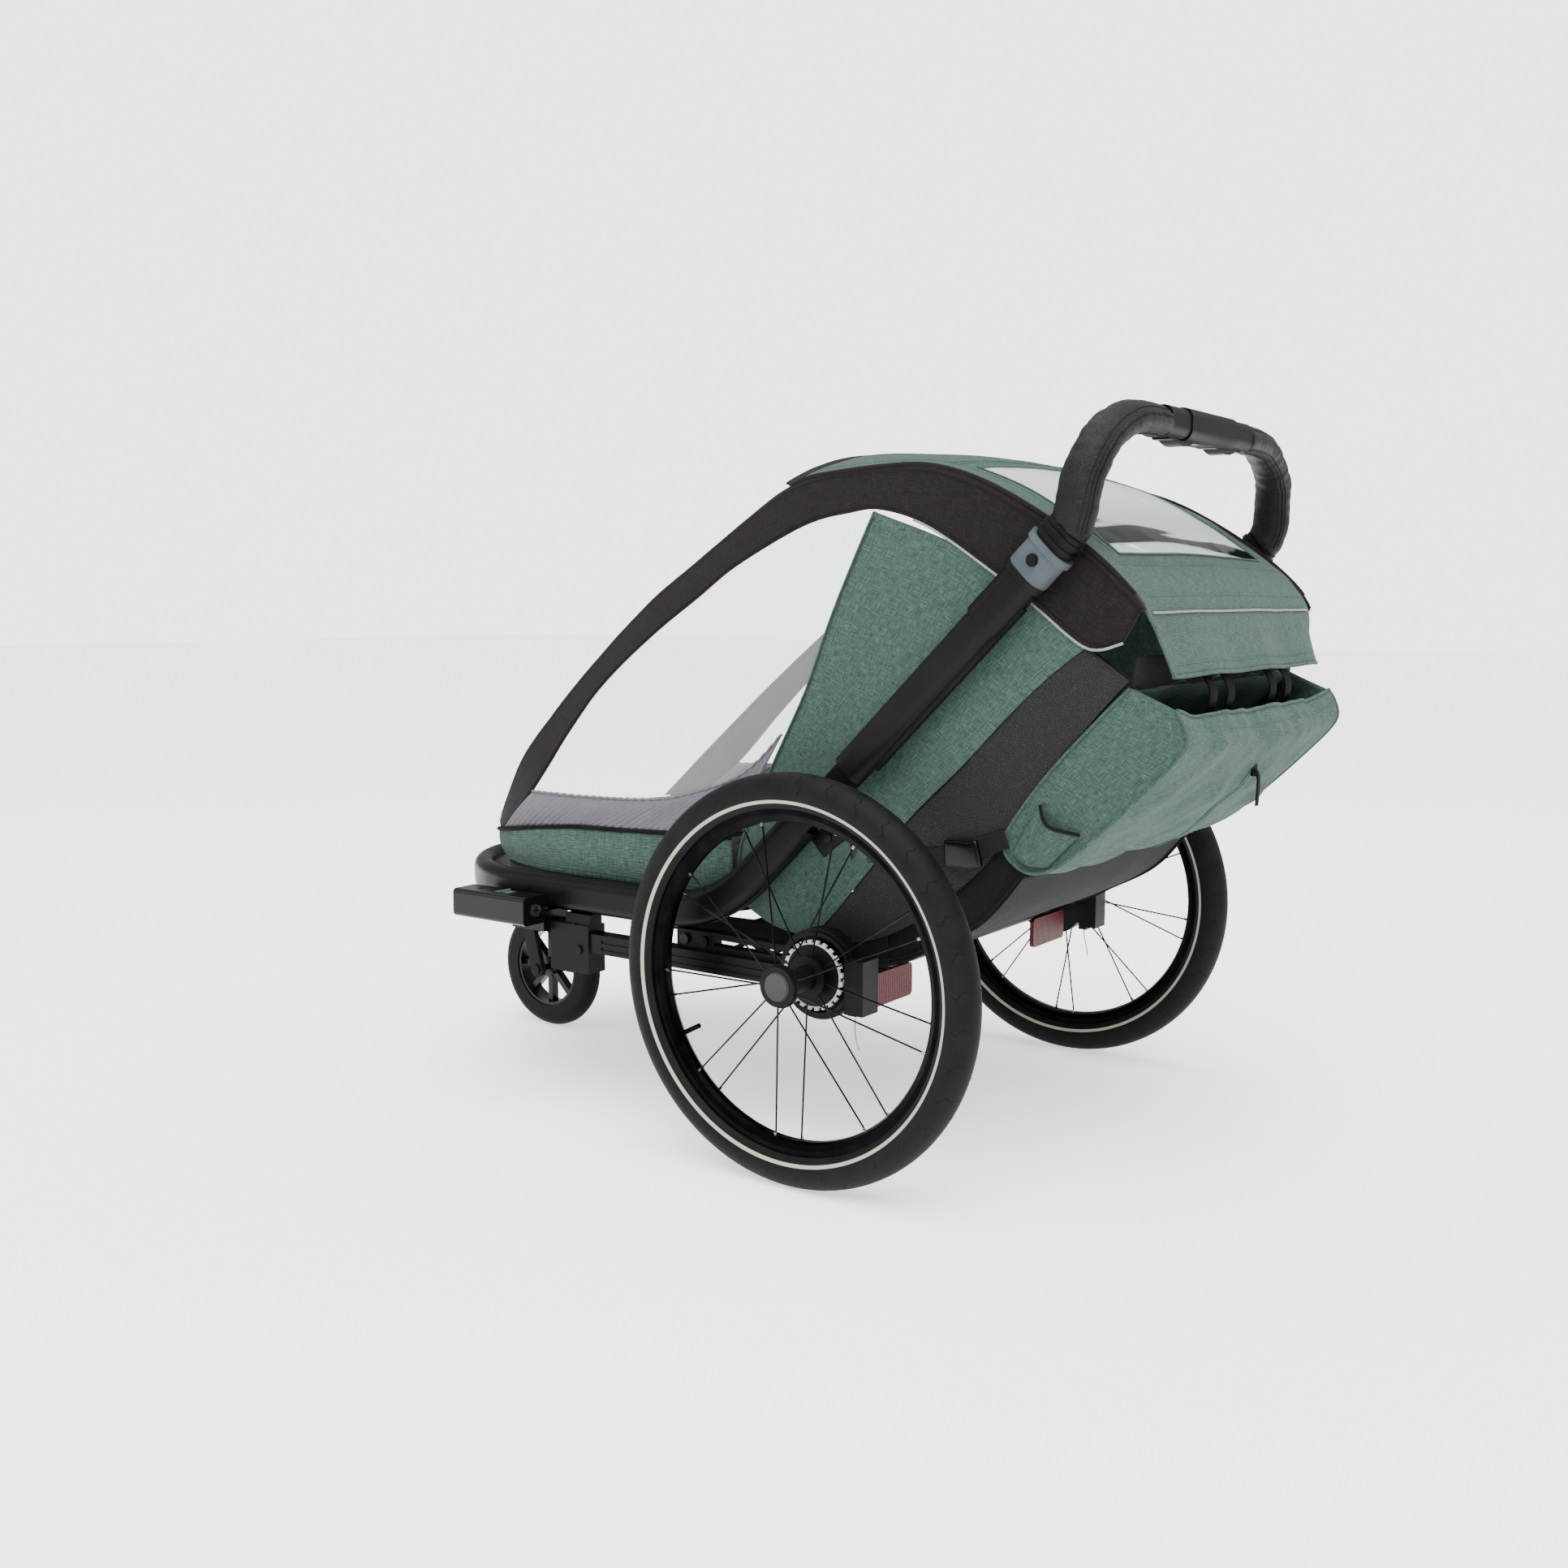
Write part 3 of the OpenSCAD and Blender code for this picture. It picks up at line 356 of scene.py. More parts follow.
# moulded acetal: off-white teeth of the brake ring
whiteMould = makePlastic("mouldedAcetal", "#a3a5a2", "#bcbdba", 0.35, grainMm=0.6, bumpMm=0.02)
# soft rubber: black and dull
rubberMat = makePlastic("softRubber", "#050505", "#0d0d0e", 0.75, grainMm=0.8, bumpMm=0.08)
# zinc plated steel: pale grey glints on pins and wire
steelMat = makeMetal("zincPlatedSteel", "#6f7174", "#94969a", 0.32)
# blackened steel: dim metallic glints on screws
darkSteel = makeMetal("blackenedSteel", "#17181a", "#26282b", 0.38)
# anodised aluminium rim: black with a soft metallic edge
rimMat = makeMetal("blackAnodisedAluminium", "#060607", "#0e0e10", 0.4, along=(1, 1, 1))
# black stainless spokes: thin lines that catch light at some angles
spokeMat = makeMetal("blackStainlessSpoke", "#0a0a0b", "#1c1c1f", 0.35)
# moulded red acrylic: deep red with a grid of small prisms, each painted lighter in the middle and darker at
# its rim as painted light and shade
prismMat = makePrism("mouldedRedPrism")
# tyre rubber: matt black, pale reflective ring, zigzag sipes on the shoulder
leftTyre = makeTyre("tyreRubberLeft", (-wheelX, axleY, wheelZ), 0.2168, 0.2285, 0.2475, 36)
rightTyre = makeTyre("tyreRubberRight", (wheelX, axleY, wheelZ), 0.2168, 0.2285, 0.2475, 36)
# solid rubber tyre: matt black, shallow sipes, no ring
casterTyre = makeTyre("solidRubberTyre", (0, (casterLow[1] + casterHigh[1]) / 2,
                                          (casterLow[2] + casterHigh[2]) / 2), 0, 0.088, 0.097, 24)

def both(*names):
    return [name + end for name in names for end in ("_left", "_right")]


nodeMaterials = {
    paintMat: both("frame", "keel") + ["frame_front", "rear_crossbar", "caster_mount"], postMat: both("post"),
    mouldMat: both("axle_arm", "brake_housing", "jogger_socket", "jogger_lever", "hub")
    + ["caster_fork", "handle_spigots", "handle_box"],
    glossMould: both("handle_lever", "snap_button") + ["tow_receiver", "caster_rim"],
    greyMould: both("collar") + ["tow_button"], capMould: both("hub_cap"), whiteMould: both("brake_ring"),
    steelMat: both("brake_pin", "brake_wire") + ["stub_axles", "tow_key"], darkSteel: ["frame_fasteners"],
    rimMat: both("rim"), spokeMat: both("spokes"), prismMat: ["reflectors"],
    leftTyre: ["tyre_left"], rightTyre: ["tyre_right"], casterTyre: ["caster_tyre"],
}
for mat, names in nodeMaterials.items():
    for name in names:
        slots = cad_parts[name].material_slots
        for s in slots:
            s.material = mat
        if not slots:
            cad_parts[name].data.materials.append(mat)
print("materials ready")


# shapes
def spline(points, count):  # Catmull-Rom through the points, evenly spaced
    p = np.asarray(points, float)
    if len(p) == 2:
        return p[0] + (p[1] - p[0]) * np.linspace(0, 1, count)[:, None]
    dense, t = [], np.linspace(0, 1, 14, endpoint=False)[:, None]
    for i in range(len(p) - 1):
        a, b, c, d = p[max(i - 1, 0)], p[i], p[i + 1], p[min(i + 2, len(p) - 1)]
        dense.append(0.5 * (2 * b + (c - a) * t + (2 * a - 5 * b + 4 * c - d) * t ** 2 +
                            (3 * b - a - 3 * c + d) * t ** 3))
    dense = np.vstack(dense + [p[-1:]])
    length = np.r_[0, np.cumsum(np.linalg.norm(np.diff(dense, axis=0), axis=1))]
    return np.array([np.interp(np.linspace(0, length[-1], count), length, dense[:, k]) for k in range(3)]).T


def surface(rows, along, across):  # grid of points through the rows
    rows = np.array([spline(r, along) for r in rows])
    return np.array([spline(rows[:, j], across) for j in range(along)]).transpose(1, 0, 2)


def gridNormals(g, hint):
    n = np.cross(np.gradient(g, axis=1), np.gradient(g, axis=0))
    n /= np.maximum(np.linalg.norm(n, axis=2, keepdims=True), 1e-9)
    return n if (n * np.asarray(hint, float)).sum(2).mean() > 0 else -n


def folds(g, sizeMm, seed, stretch=(1, 1, 1)):  # smooth noise from -1 to 1 for each point
    q = g / sizeMm * np.asarray(stretch) + seed * 7.3
    return np.array([[noise.noise(Vector(p)) for p in row] for row in q])


def finishMesh(name, verts, faces, uvs, mats, smooth=True, faceMats=None):
    mesh = bpy.data.meshes.new(name)
    mesh.from_pydata([tuple(v) for v in toRow(verts)], [], [tuple(int(i) for i in f) for f in faces])
    if uvs is not None:
        layer = mesh.uv_layers.new(name="UVMap")
        loops = np.zeros(len(mesh.loops), int)
        mesh.loops.foreach_get("vertex_index", loops)
        layer.data.foreach_set("uv", (np.asarray(uvs)[loops] / 1000).ravel())
    for m in mats if isinstance(mats, (list, tuple)) else [mats]:
        mesh.materials.append(m)
    mesh.polygons.foreach_set("use_smooth", [smooth] * len(mesh.polygons))
    if faceMats is not None:
        mesh.polygons.foreach_set("material_index", faceMats)
    mesh.update()
    mesh.validate()
    obj = bpy.data.objects.new(name, mesh)
    bpy.context.scene.collection.objects.link(obj)
    return obj


def gridUv(g):
    u = np.cumsum(np.r_[0, np.linalg.norm(np.diff(g[len(g) // 2], axis=0), axis=1)])
    v = np.cumsum(np.r_[0, np.linalg.norm(np.diff(g[:, g.shape[1] // 2], axis=0), axis=1)])
    return np.stack(np.meshgrid(u, v), axis=2).reshape(-1, 2)


def closedFaces(rows, cols, turned):  # quads of a grid, of the same grid behind it, and of the rim between them
    idx = np.arange(rows * cols).reshape(rows, cols)
    quads = np.stack([part.ravel() for part in (idx[:-1, :-1], idx[:-1, 1:], idx[1:, 1:], idx[1:, :-1])], 1)
    if turned:
        quads = quads[:, ::-1]
    back = rows * cols
    rim = np.r_[idx[0, :], idx[1:, -1], idx[-1, -2::-1], idx[-2:0:-1, 0]]
    forward = {(int(f[k]), int(f[(k + 1) % 4])) for f in quads for k in range(4)}
    sides = []
    for a, b in np.stack([rim, np.roll(rim, -1)], 1):
        sides.append((b, a, a + back, b + back) if (int(a), int(b)) in forward else (a, b, b + back, a + back))
    return quads, np.vstack([quads, quads[:, ::-1] + back, np.array(sides)])


# closed sheet of cloth: outer face g, wall mm thick inwards
def sheetMesh(name, g, hint, wall, mats, pick=None):
    n = gridNormals(g, hint)
    rows, cols = g.shape[:2]
    outer, inner = g.reshape(-1, 3), (g - n * wall).reshape(-1, 3)
    mid = (rows - 1) * (cols - 1) // 2  # one quad in the middle shows which way round the grid runs
    corner = mid // (cols - 1) * cols + mid % (cols - 1)
    facing = np.cross(outer[corner + 1] - outer[corner], outer[corner + cols] - outer[corner])
    quads, faces = closedFaces(rows, cols, facing @ n.reshape(-1, 3)[corner] < 0)
    uv = gridUv(g)
    choice = None
    if pick is not None:
        kind = pick[:-1, :-1].ravel().astype(int)
        choice = np.r_[kind, kind, np.zeros(len(faces) - 2 * len(quads), int)]
    return finishMesh(name, np.vstack([outer, inner]), faces, np.vstack([uv, uv]), mats, faceMats=choice)


# section: list of (a, b), or one such list for each point
def sweep(name, path, section, mats, reference=(0, 0, 1)):
    p = np.asarray(path, float)
    t = np.gradient(p, axis=0)
    t /= np.linalg.norm(t, axis=1, keepdims=True)
    ref = np.broadcast_to(np.asarray(reference, float), p.shape)
    side = np.cross(t, ref)
    side /= np.linalg.norm(side, axis=1, keepdims=True)
    up = np.cross(side, t)
    s = np.asarray(section, float)
    if s.ndim == 2:
        s = np.broadcast_to(s, (len(p),) + s.shape)
    k = s.shape[1]
    verts = (p[:, None] + side[:, None] * s[:, :, :1] + up[:, None] * s[:, :, 1:]).reshape(-1, 3)
    faces = [(i * k + j, i * k + (j + 1) % k, (i + 1) * k + (j + 1) % k, (i + 1) * k + j)
             for i in range(len(p) - 1) for j in range(k)]
    length = np.r_[0, np.cumsum(np.linalg.norm(np.diff(p, axis=0), axis=1))]
    around = np.r_[0, np.cumsum(np.linalg.norm(np.diff(s[0], axis=0), axis=1))]
    uv = np.stack([np.repeat(length, k), np.tile(around, len(p))], 1)
    faces += [tuple(range(k))[::-1], tuple((len(p) - 1) * k + j for j in range(k))]
    v = verts
    volume = sum(float(v[f[0]] @ np.cross(v[f[1]], v[f[2]]) + v[f[0]] @ np.cross(v[f[2]], v[f[-1]]))
                 for f in faces if len(f) == 4)
    if volume < 0:
        faces = [f[::-1] for f in faces]
    return finishMesh(name, verts, faces, uv, mats)


def oval(a, b, sides=14, power=1.0):
    angle = np.linspace(0, 2 * math.pi, sides, endpoint=False)
    c, s = np.cos(angle), np.sin(angle)
    return np.stack([a * np.sign(c) * np.abs(c) ** power, b * np.sign(s) * np.abs(s) ** power], 1)


def strap(name, path, width, mats, reference, thick=1.6, count=24):
    return sweep(name, spline(path, count), oval(width / 2, thick / 2, 12, 0.35), mats, reference)


def mirrorX(points):
    return np.asarray(points, float) * (-1, 1, 1)


def soften(obj):  # fabric that rides on the frame's body, on a mesh of its own
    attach(obj, "frame")
    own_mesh(obj)
    return obj


# node trees
def newTree(name, sockets):  # sockets: name -> kind, in the order of the panel
    tree = bpy.data.node_groups.new(name, "GeometryNodeTree")
    tree.interface.new_socket("Geometry", in_out="INPUT", socket_type="NodeSocketGeometry")
    for key, kind in sockets.items():
        tree.interface.new_socket(key, in_out="INPUT", socket_type="NodeSocket" + kind)
    tree.interface.new_socket("Geometry", in_out="OUTPUT", socket_type="NodeSocketGeometry")
    return tree, node(tree, "NodeGroupInput").outputs


def closeTree(tree, geometry, material):
    real = node(tree, "GeometryNodeRealizeInstances", {0: geometry}).outputs[0]
    done = node(tree, "GeometryNodeSetMaterial", {"Geometry": real, "Material": material}).outputs[0]
    node(tree, "NodeGroupOutput", {0: done})
    return tree


def stitchTree():  # short thread pieces at even steps along lines
    tree, given = newTree("stitches", {"Spacing": "Float", "Length": "Float", "Radius": "Float",
                                       "Material": "Material"})
    line = node(tree, "GeometryNodeMeshToCurve", {0: given["Geometry"]}).outputs[0]
    points = node(tree, "GeometryNodeCurveToPoints", {"Curve": line, "Length": given["Spacing"]}, mode="LENGTH")
    bit = node(tree, "GeometryNodeMeshCylinder", {"Vertices": 6, "Radius": given["Radius"],
                                                  "Depth": given["Length"]}).outputs[0]
    turn = node(tree, "FunctionNodeAlignRotationToVector", {"Vector": points.outputs["Tangent"]},
                axis="Z").outputs[0]
    placed = node(tree, "GeometryNodeInstanceOnPoints", {"Points": points.outputs[0], "Instance": bit,
                                                         "Rotation": turn}).outputs[0]
    return closeTree(tree, placed, given["Material"])


def rodTree():  # a round bar along each line: nipples, screws, pins
    tree, given = newTree("rods", {"Radius": "Float", "Sides": "Int", "Material": "Material"})
    line = node(tree, "GeometryNodeMeshToCurve", {0: given["Geometry"]}).outputs[0]
    ring = node(tree, "GeometryNodeCurvePrimitiveCircle",
                {"Radius": given["Radius"], "Resolution": given["Sides"]}).outputs[0]
    bar = node(tree, "GeometryNodeCurveToMesh", {"Curve": line, "Profile Curve": ring,
                                                 "Fill Caps": True}).outputs[0]
    flat = node(tree, "GeometryNodeSetShadeSmooth", {0: bar, "Shade Smooth": False}).outputs[0]
    return closeTree(tree, flat, given["Material"])


def hairTree():  # thin rubber hairs left by the mould's vents
    tree, given = newTree("hairs", {"Density": "Float", "Seed": "Int", "Length": "Float", "Radius": "Float",
                                    "Material": "Material"})
    spots = node(tree, "GeometryNodeDistributePointsOnFaces",
                 {"Mesh": given["Geometry"], "Density": given["Density"], "Seed": given["Seed"]})
    hair = node(tree, "GeometryNodeMeshCone", {"Vertices": 4, "Radius Top": 0.0,
                                               "Radius Bottom": given["Radius"],
                                               "Depth": given["Length"]}).outputs[0]
    placed = node(tree, "GeometryNodeInstanceOnPoints", {"Points": spots.outputs[0], "Instance": hair,
                                                         "Rotation": spots.outputs["Rotation"]}).outputs[0]
    return closeTree(tree, placed, given["Material"])


trees = {"stitches": stitchTree(), "rods": rodTree(), "hairs": hairTree()}


def grow(obj, tree, values):  # runs a node tree on obj and keeps the result as a plain mesh
    mod = obj.modifiers.new("nodes", "NODES")
    mod.node_group = tree
    for item in tree.interface.items_tree:
        if item.item_type == "SOCKET" and item.in_out == "INPUT" and item.name in values:
            mod[item.identifier] = values[item.name]
    depsgraph = bpy.context.evaluated_depsgraph_get()
    mesh = bpy.data.meshes.new_from_object(obj.evaluated_get(depsgraph), depsgraph=depsgraph)
    obj.modifiers.remove(mod)
    obj.data = mesh
    return obj


def lineMesh(name, lines):
    mesh = bpy.data.meshes.new(name)
    verts, edges = [], []
    for line in lines:
        start = len(verts)
        verts += [tuple(p) for p in toRow(line)]
        edges += [(start + i, start + i + 1) for i in range(len(line) - 1)]
    mesh.from_pydata(verts, edges, [])
    obj = bpy.data.objects.new(name, mesh)
    bpy.context.scene.collection.objects.link(obj)
    return obj


def stitches(name, lines, mat, spacing=6.0, length=4.0, radius=0.55):
    return grow(lineMesh(name, lines), trees["stitches"],
                {"Spacing": spacing / 1000, "Length": length / 1000, "Radius": radius / 1000, "Material": mat})


def rods(name, lines, mat, radius, sides=8):
    return grow(lineMesh(name, lines), trees["rods"], {"Radius": radius / 1000, "Sides": sides,
                                                       "Material": mat})


# fabric body
# side profile of the hood from its front foot over the top to the rear: half width, y, z
bandOuter = [(200, 665, 369), (238, 583, 464), (250, 506, 538), (258, 404, 626), (265, 311, 698),
             (271, 223, 752), (276, 142, 802), (279, 83, 834),
             (280, 28, 848), (281, -53, 854), (281, -120, 853), (281.5, -185, 835), (282, -256, 799),
             (282, -325, 753), (282, -373, 709), (282, -386, 690)]
bandInner = [(216, 642, 358), (243, 553, 425), (254, 468, 517), (261, 398, 585), (268, 305, 652),
             (273, 219, 705), (277, 164, 739), (280, 86, 776),
             (281, 37, 794), (282, -10, 802), (283, -56, 805), (283, -122, 785), (283, -209, 731),
             (283, -259, 696), (283, -323, 650), (283, -366, 656)]
hemTop = [(243, 553, 425), (262, 432, 428), (273, 302, 435), (277, 229, 450), (280, 161, 473),
          (281, 122, 498), (281.5, 85, 534)]
apronTop = [(217, 640, 359), (259, 464, 382), (274, 360, 388), (279, 271, 392), (281, 165, 396)]
greenFront = [(282.5, -49, 803), (282.5, -21, 747), (282, 13, 675), (281.5, 48, 590), (281.5, 91, 508),
              (281, 120, 450), (280, 148, 390), (275, 160, 318)]
greenMiddle = [(283, -190, 748), (282, -140, 670), (281.5, -95, 600), (281.5, -45, 520), (281, 5, 440),
               (281, 52, 370), (278, 95, 312), (274, 105, 290)]
greenRear = [(283, -323, 650), (281, -280, 618), (281, -231, 573), (281, -170, 510), (281, -100, 443),
             (280, -38, 369), (275, 27, 297), (273, 55, 282)]
netRear = [(272, -368, 614), (266, -330, 575), (262, -268, 502), (262, -222, 440), (262, -190, 392),
           (266, -120, 330), (268, -50, 290), (269, 20, 276)]

outerLine, innerLine = spline(bandOuter, 150), spline(bandInner, 150)
outward = np.stack([np.zeros(150), -np.gradient(outerLine[:, 2]), np.gradient(outerLine[:, 1])], 1)
outward *= -1 / np.linalg.norm(outward, axis=1, keepdims=True)  # away from the cabin in the side view


hood = {"bandWallMm": 2.2, "panelWallMm": 1.6, "netWallMm": 0.8, "hemWallMm": 1.2, "windowWallMm": 0.6,
        "pipingMm": 1.6, "panelFoldMm": 2.2,
        "netFoldMm": 2.5, "gathers": 34}


def hoodSide(side, word):
    flip = (side, 1, 1)
    hint = (side, 0, 0)
    curl = outerLine + outward * 1.5 - (11, 0, 0)
    lip = outerLine + outward * 0.6 - (2.5, 0, 0)
    mid = outerLine * 0.5 + innerLine * 0.5 + (1.2, 0, 0)
    g = np.array([curl, lip, outerLine + (1.0, 0, 0) - outward * 2.5, mid, innerLine + (0.8, 0, 0)])
    g = surface(g, 150, 14) * flip
    g = g + gridNormals(g, hint) * (folds(g, 60, 3, (1, 1, 1)) * 0.8)[:, :, None]
    soften(sheetMesh("hoodBand" + word, g, hint, hood["bandWallMm"], brownCloth))
    low = innerLine[(innerLine[:, 1] < -100)] * flip
    soften(sweep("hoodPiping" + word, low + np.array((0.8 * side, 0, -1.0)),
                 oval(hood["pipingMm"], hood["pipingMm"], 8), piping))
    seam = [(innerLine * 0.93 + outerLine * 0.07 + (1.6, 0, 0)) * flip,
            (innerLine * 0.10 + outerLine * 0.90 + (2.0, 0, 0)) * flip]
    soften(stitches("hoodBandStitch" + word, seam, threadMat, spacing=5, length=3.4, radius=0.45))

    g = surface([greenFront, greenMiddle, greenRear], 90, 70) * flip
    n = gridNormals(g, hint)
    v = np.linspace(0, 1, 70)[:, None]
    u = np.linspace(0, 1, 90)[None]
    rim = np.clip(np.minimum(v, 1 - v) * 8, 0, 1)
    # soft tension folds that run down the panel
    pull = np.sin(v * 2 * math.pi * 2.2 + u * 2) * 1.2 * u * (1 - u) * 4
    g = g + n * ((folds(g, 85, 5, (1, 1, 0.5)) * hood["panelFoldMm"] + pull) * rim)[:, :, None]
    panel = sheetMesh("sidePanel" + word, g, hint, hood["panelWallMm"], sageCloth)
    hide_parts("side_left" if side < 0 else "side_right")
    soften(panel)
    edge = spline(greenFront, 60) * flip
    soften(sweep("panelBinding" + word, edge + np.array((side * 0.6, 0, 0)), oval(1.2, 3.0, 8, 0.6),
                 sageCloth, (1, 0, 0)))
    soften(stitches("panelStitch" + word, [g[3] + n[3] * 0.3, g[-4] + n[-4] * 0.3], paleThread, spacing=5,
                    length=3.4, radius=0.4))

    g = surface([greenRear, [tuple(a) for a in netRear]], 70, 30) * flip
    sag = folds(g, 70, 9) * hood["netFoldMm"]
    g = g - np.array((side * 2.0, 0, 0)) + gridNormals(g, hint) * sag[:, :, None]
    soften(sheetMesh("trunkNet" + word, g, hint, hood["netWallMm"], netCloth))
    liner = surface([greenRear, [tuple(a) for a in netRear]], 30, 12) * flip - np.array((side * 9, 0, 0))
    soften(sheetMesh("trunkLiner" + word, liner, hint, hood["netWallMm"], darkCloth))

    top, bottom = spline(hemTop, 110), spline(apronTop, 110)
    t = np.linspace(0, 1, 110)
    gather = np.sin(t * 2 * math.pi * hood["gathers"] + np.sin(t * 17) * 1.6)
    bulge = top * 0.5 + bottom * 0.5 + (4, 0, 0)
    g = surface([top, bulge, bottom], 110, 12)
    w = np.sin(np.linspace(0.15, math.pi * 0.8, 12))[:, None] * 1.7
    g[:, :, 0] += w * gather[None]
    g[:, :, 2] += (np.linspace(1, 0, 12)[:, None] * gather[None]) * 0.8
    g = g * flip
    soften(sheetMesh("elasticHem" + word, g, hint, hood["hemWallMm"], elasticCloth))
    soften(sweep("hemCord" + word, g[0] + np.array((side * 0.4, 0, 0)), oval(1.8, 1.8, 8), elasticCloth))

    upper = spline(np.vstack([bandInner[1:11], [(282.5, -49, 804)]]), 80)
    lower = spline(np.vstack([hemTop, [(281, 48, 590), (281.5, 13, 675), (282, -21, 747),
                                       (282.5, -48, 802)]]), 80)
    g = surface([upper - (1.5, 0, 0), lower - (1.5, 0, 0)], 80, 30) * flip
    n = gridNormals(g, hint)
    g = g + n * (folds(g, 130, 12) * 1.6)[:, :, None]
    soften(sheetMesh("sideWindow" + word, g, hint, hood["windowWallMm"], sideFilm))


for side, word in ((-1, "Left"), (1, "Right")):
    hoodSide(side, word)
print("hood sides ready")

# apron round the front foot of the cabin, one long sheet from side to side
apron = {"wallMm": 1.6, "foldMm": 1.6}
frontTop = [(-150, 678, 352), (0, 690, 349), (150, 678, 352)]
apronLow = [(206, 646, 318), (250, 560, 317), (271, 470, 317), (275, 360, 317), (275, 271, 316),
            (274, 165, 315)]
frontLow = [(-140, 682, 318), (0, 694, 318), (140, 682, 318)]
topRow = [tuple(mirrorX(p)) for p in apronTop[::-1]] + frontTop + apronTop
lowRow = [tuple(mirrorX(p)) for p in apronLow[::-1]] + frontLow + apronLow
a, b = spline(topRow, 220), spline(lowRow, 220)
out = (a + b) / 2 - np.array([0, 350, 340])
out[:, 2] = 0
out /= np.linalg.norm(out, axis=1, keepdims=True)
g = surface([a + out * 1.5, (a + b) / 2 + out * 5, b], 220, 14)
g = g + out[None] * (folds(g, 55, 4, (1, 1, 0.6)) * apron["foldMm"])[:, :, None]
apronPiece = sheetMesh("apron", g, (0, 0.2, -0.05), apron["wallMm"], sageCloth)
soften(apronPiece)
soften(sweep("apronZip", a + out * 2.2 + (0, 0, 1.0), oval(1.6, 3.2, 8, 0.6), threadMat))
soften(stitches("apronZipTeeth", [a + out * 4.0 + (0, 0, 1.0)], threadMat, spacing=3.2, length=1.8,
                radius=1.2))
for k in (2, 11):
    soften(stitches("apronStitch%d" % k, [g[k] + out * 0.4], paleThread, spacing=5, length=3.4, radius=0.4))
frontHem = surface([[(-212, 646, 368), (-150, 676, 366), (0, 688, 366), (150, 676, 366), (212, 646, 368)],
                    [(-213, 645, 357)] + frontTop + [(213, 645, 357)]], 80, 6)
soften(sheetMesh("frontHem", frontHem, (0, 1, 0), 1.2, elasticCloth))

# roof: one crowned sheet with a clear pane sewn in, falling over the rear edge as a flap
roof = {"paneFrom": -150, "paneTo": -329, "paneShare": 0.79, "wallMm": 1.5}
roofEdge = [(278.5, 76, 838), (279, 56, 844), (279.5, 28, 849), (280, -53, 855), (280, -120, 854),
            (280.5, -185, 836), (281, -256, 800), (281, -325, 754),
            (279, -372, 711), (266, -388, 681), (247, -394, 655), (240, -408, 619)]
roofRise = [54, 50, 43, 30, 19, 12, 8, 6, 5, 4, 3, 2]
edgeLine = spline(roofEdge, 400)
reach = np.r_[0, np.cumsum(np.linalg.norm(np.diff(edgeLine, axis=0), axis=1))]
keys = [reach[np.argmin(np.linalg.norm(edgeLine - np.array(p), axis=1))] for p in roofEdge]
rise = np.interp(reach, keys, roofRise)
slope = np.stack([np.zeros(400), np.gradient(edgeLine[:, 2]), -np.gradient(edgeLine[:, 1])], 1)
slope /= np.linalg.norm(slope, axis=1, keepdims=True)


def rowsBetween(first, last, count):
    return np.linspace(first, last, count).round().astype(int)


paneStart, paneEnd = (int(np.argmin(np.abs(edgeLine[:, 1] - roof[k]) + (edgeLine[:, 2] < 700) * 999))
                      for k in ("paneFrom", "paneTo"))
picks = np.r_[rowsBetween(0, paneStart, 26)[:-1], rowsBetween(paneStart, paneEnd, 26)[:-1],
              rowsBetween(paneEnd, 399, 26)]
share = np.r_[np.linspace(-1, -roof["paneShare"], 9)[:-1],
              np.linspace(-roof["paneShare"], roof["paneShare"], 61)[:-1], np.linspace(roof["paneShare"], 1, 9)]
g = np.array([[edgeLine[i] * (s, 1, 1) + slope[i] * rise[i] * (1 - abs(s) ** 2.2) for s in share]
              for i in picks])
n = gridNormals(g, (0, -0.3, 1))
along, across = np.meshgrid(np.arange(len(picks)), np.arange(len(share)), indexing="ij")
inPane = (along >= 25) & (along < 50) & (across >= 8) & (across < 68)
flapPart = np.clip((np.arange(len(picks)) - 56) / 18, 0, 1)[:, None]
ripple = folds(g, 95, 2, (0.6, 1.3, 1.3)) * 2.0 + folds(g, 38, 6, (1.2, 0.8, 0.8)) * (0.5 + 1.2 * flapPart)
g = g + n * (ripple + flapPart * np.sin(share[None] * 9) * 3)[:, :, None]
roofPiece = sheetMesh("roof", g, (0, -0.3, 1), roof["wallMm"], [sageCloth, clearFilm], pick=inPane)
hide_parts("canopy_roof")
soften(roofPiece)
n = gridNormals(g, (0, -0.3, 1))
up = g + n * 0.5
paneLoop = np.vstack([up[25, 8:69], up[26:51, 68], up[50, 67:7:-1], up[49:24:-1, 8]])
soften(sweep("paneBinding", paneLoop, oval(2.6, 0.9, 8, 0.6), sageCloth, (0, -0.3, 1)))
lines = [up[22, 6:71], up[23, 6:71], up[53, 4:73], up[60, 3:74], up[73, 3:74], up[:50, 6], up[:50, 70]]
soften(stitches("roofStitch", lines, paleThread, spacing=5.5, length=3.8, radius=0.45))
soften(sweep("flapPiping", up[63, 2:75] + n[63, 2:75] * 0.8, oval(1.5, 1.5, 8), piping, (0, -0.3, 1)))
soften(sweep("flapHem", g[-1] + n[-1] * -0.7, oval(2.6, 2.0, 10), sageCloth, (0, -1, 0.3)))
for side in (-1, 1):
    line = np.array([edgeLine[i] * (side, 1, 1) + slope[i] * 0.8 for i in rowsBetween(0, 330, 90)])
    soften(sweep("roofCording" + ("Left" if side < 0 else "Right"), line, oval(2.4, 2.4, 10), brownCloth,
                 (side, 0, 0)))

# rolled front cover under the roof's front edge, and the dark visor seam above it
cover = {"halfWidth": 262, "y": 106, "lowZ": 800, "crownMm": 52, "depthMm": 14.5, "heightMm": 17,
         "strapsAt": (-150, 0, 150)}


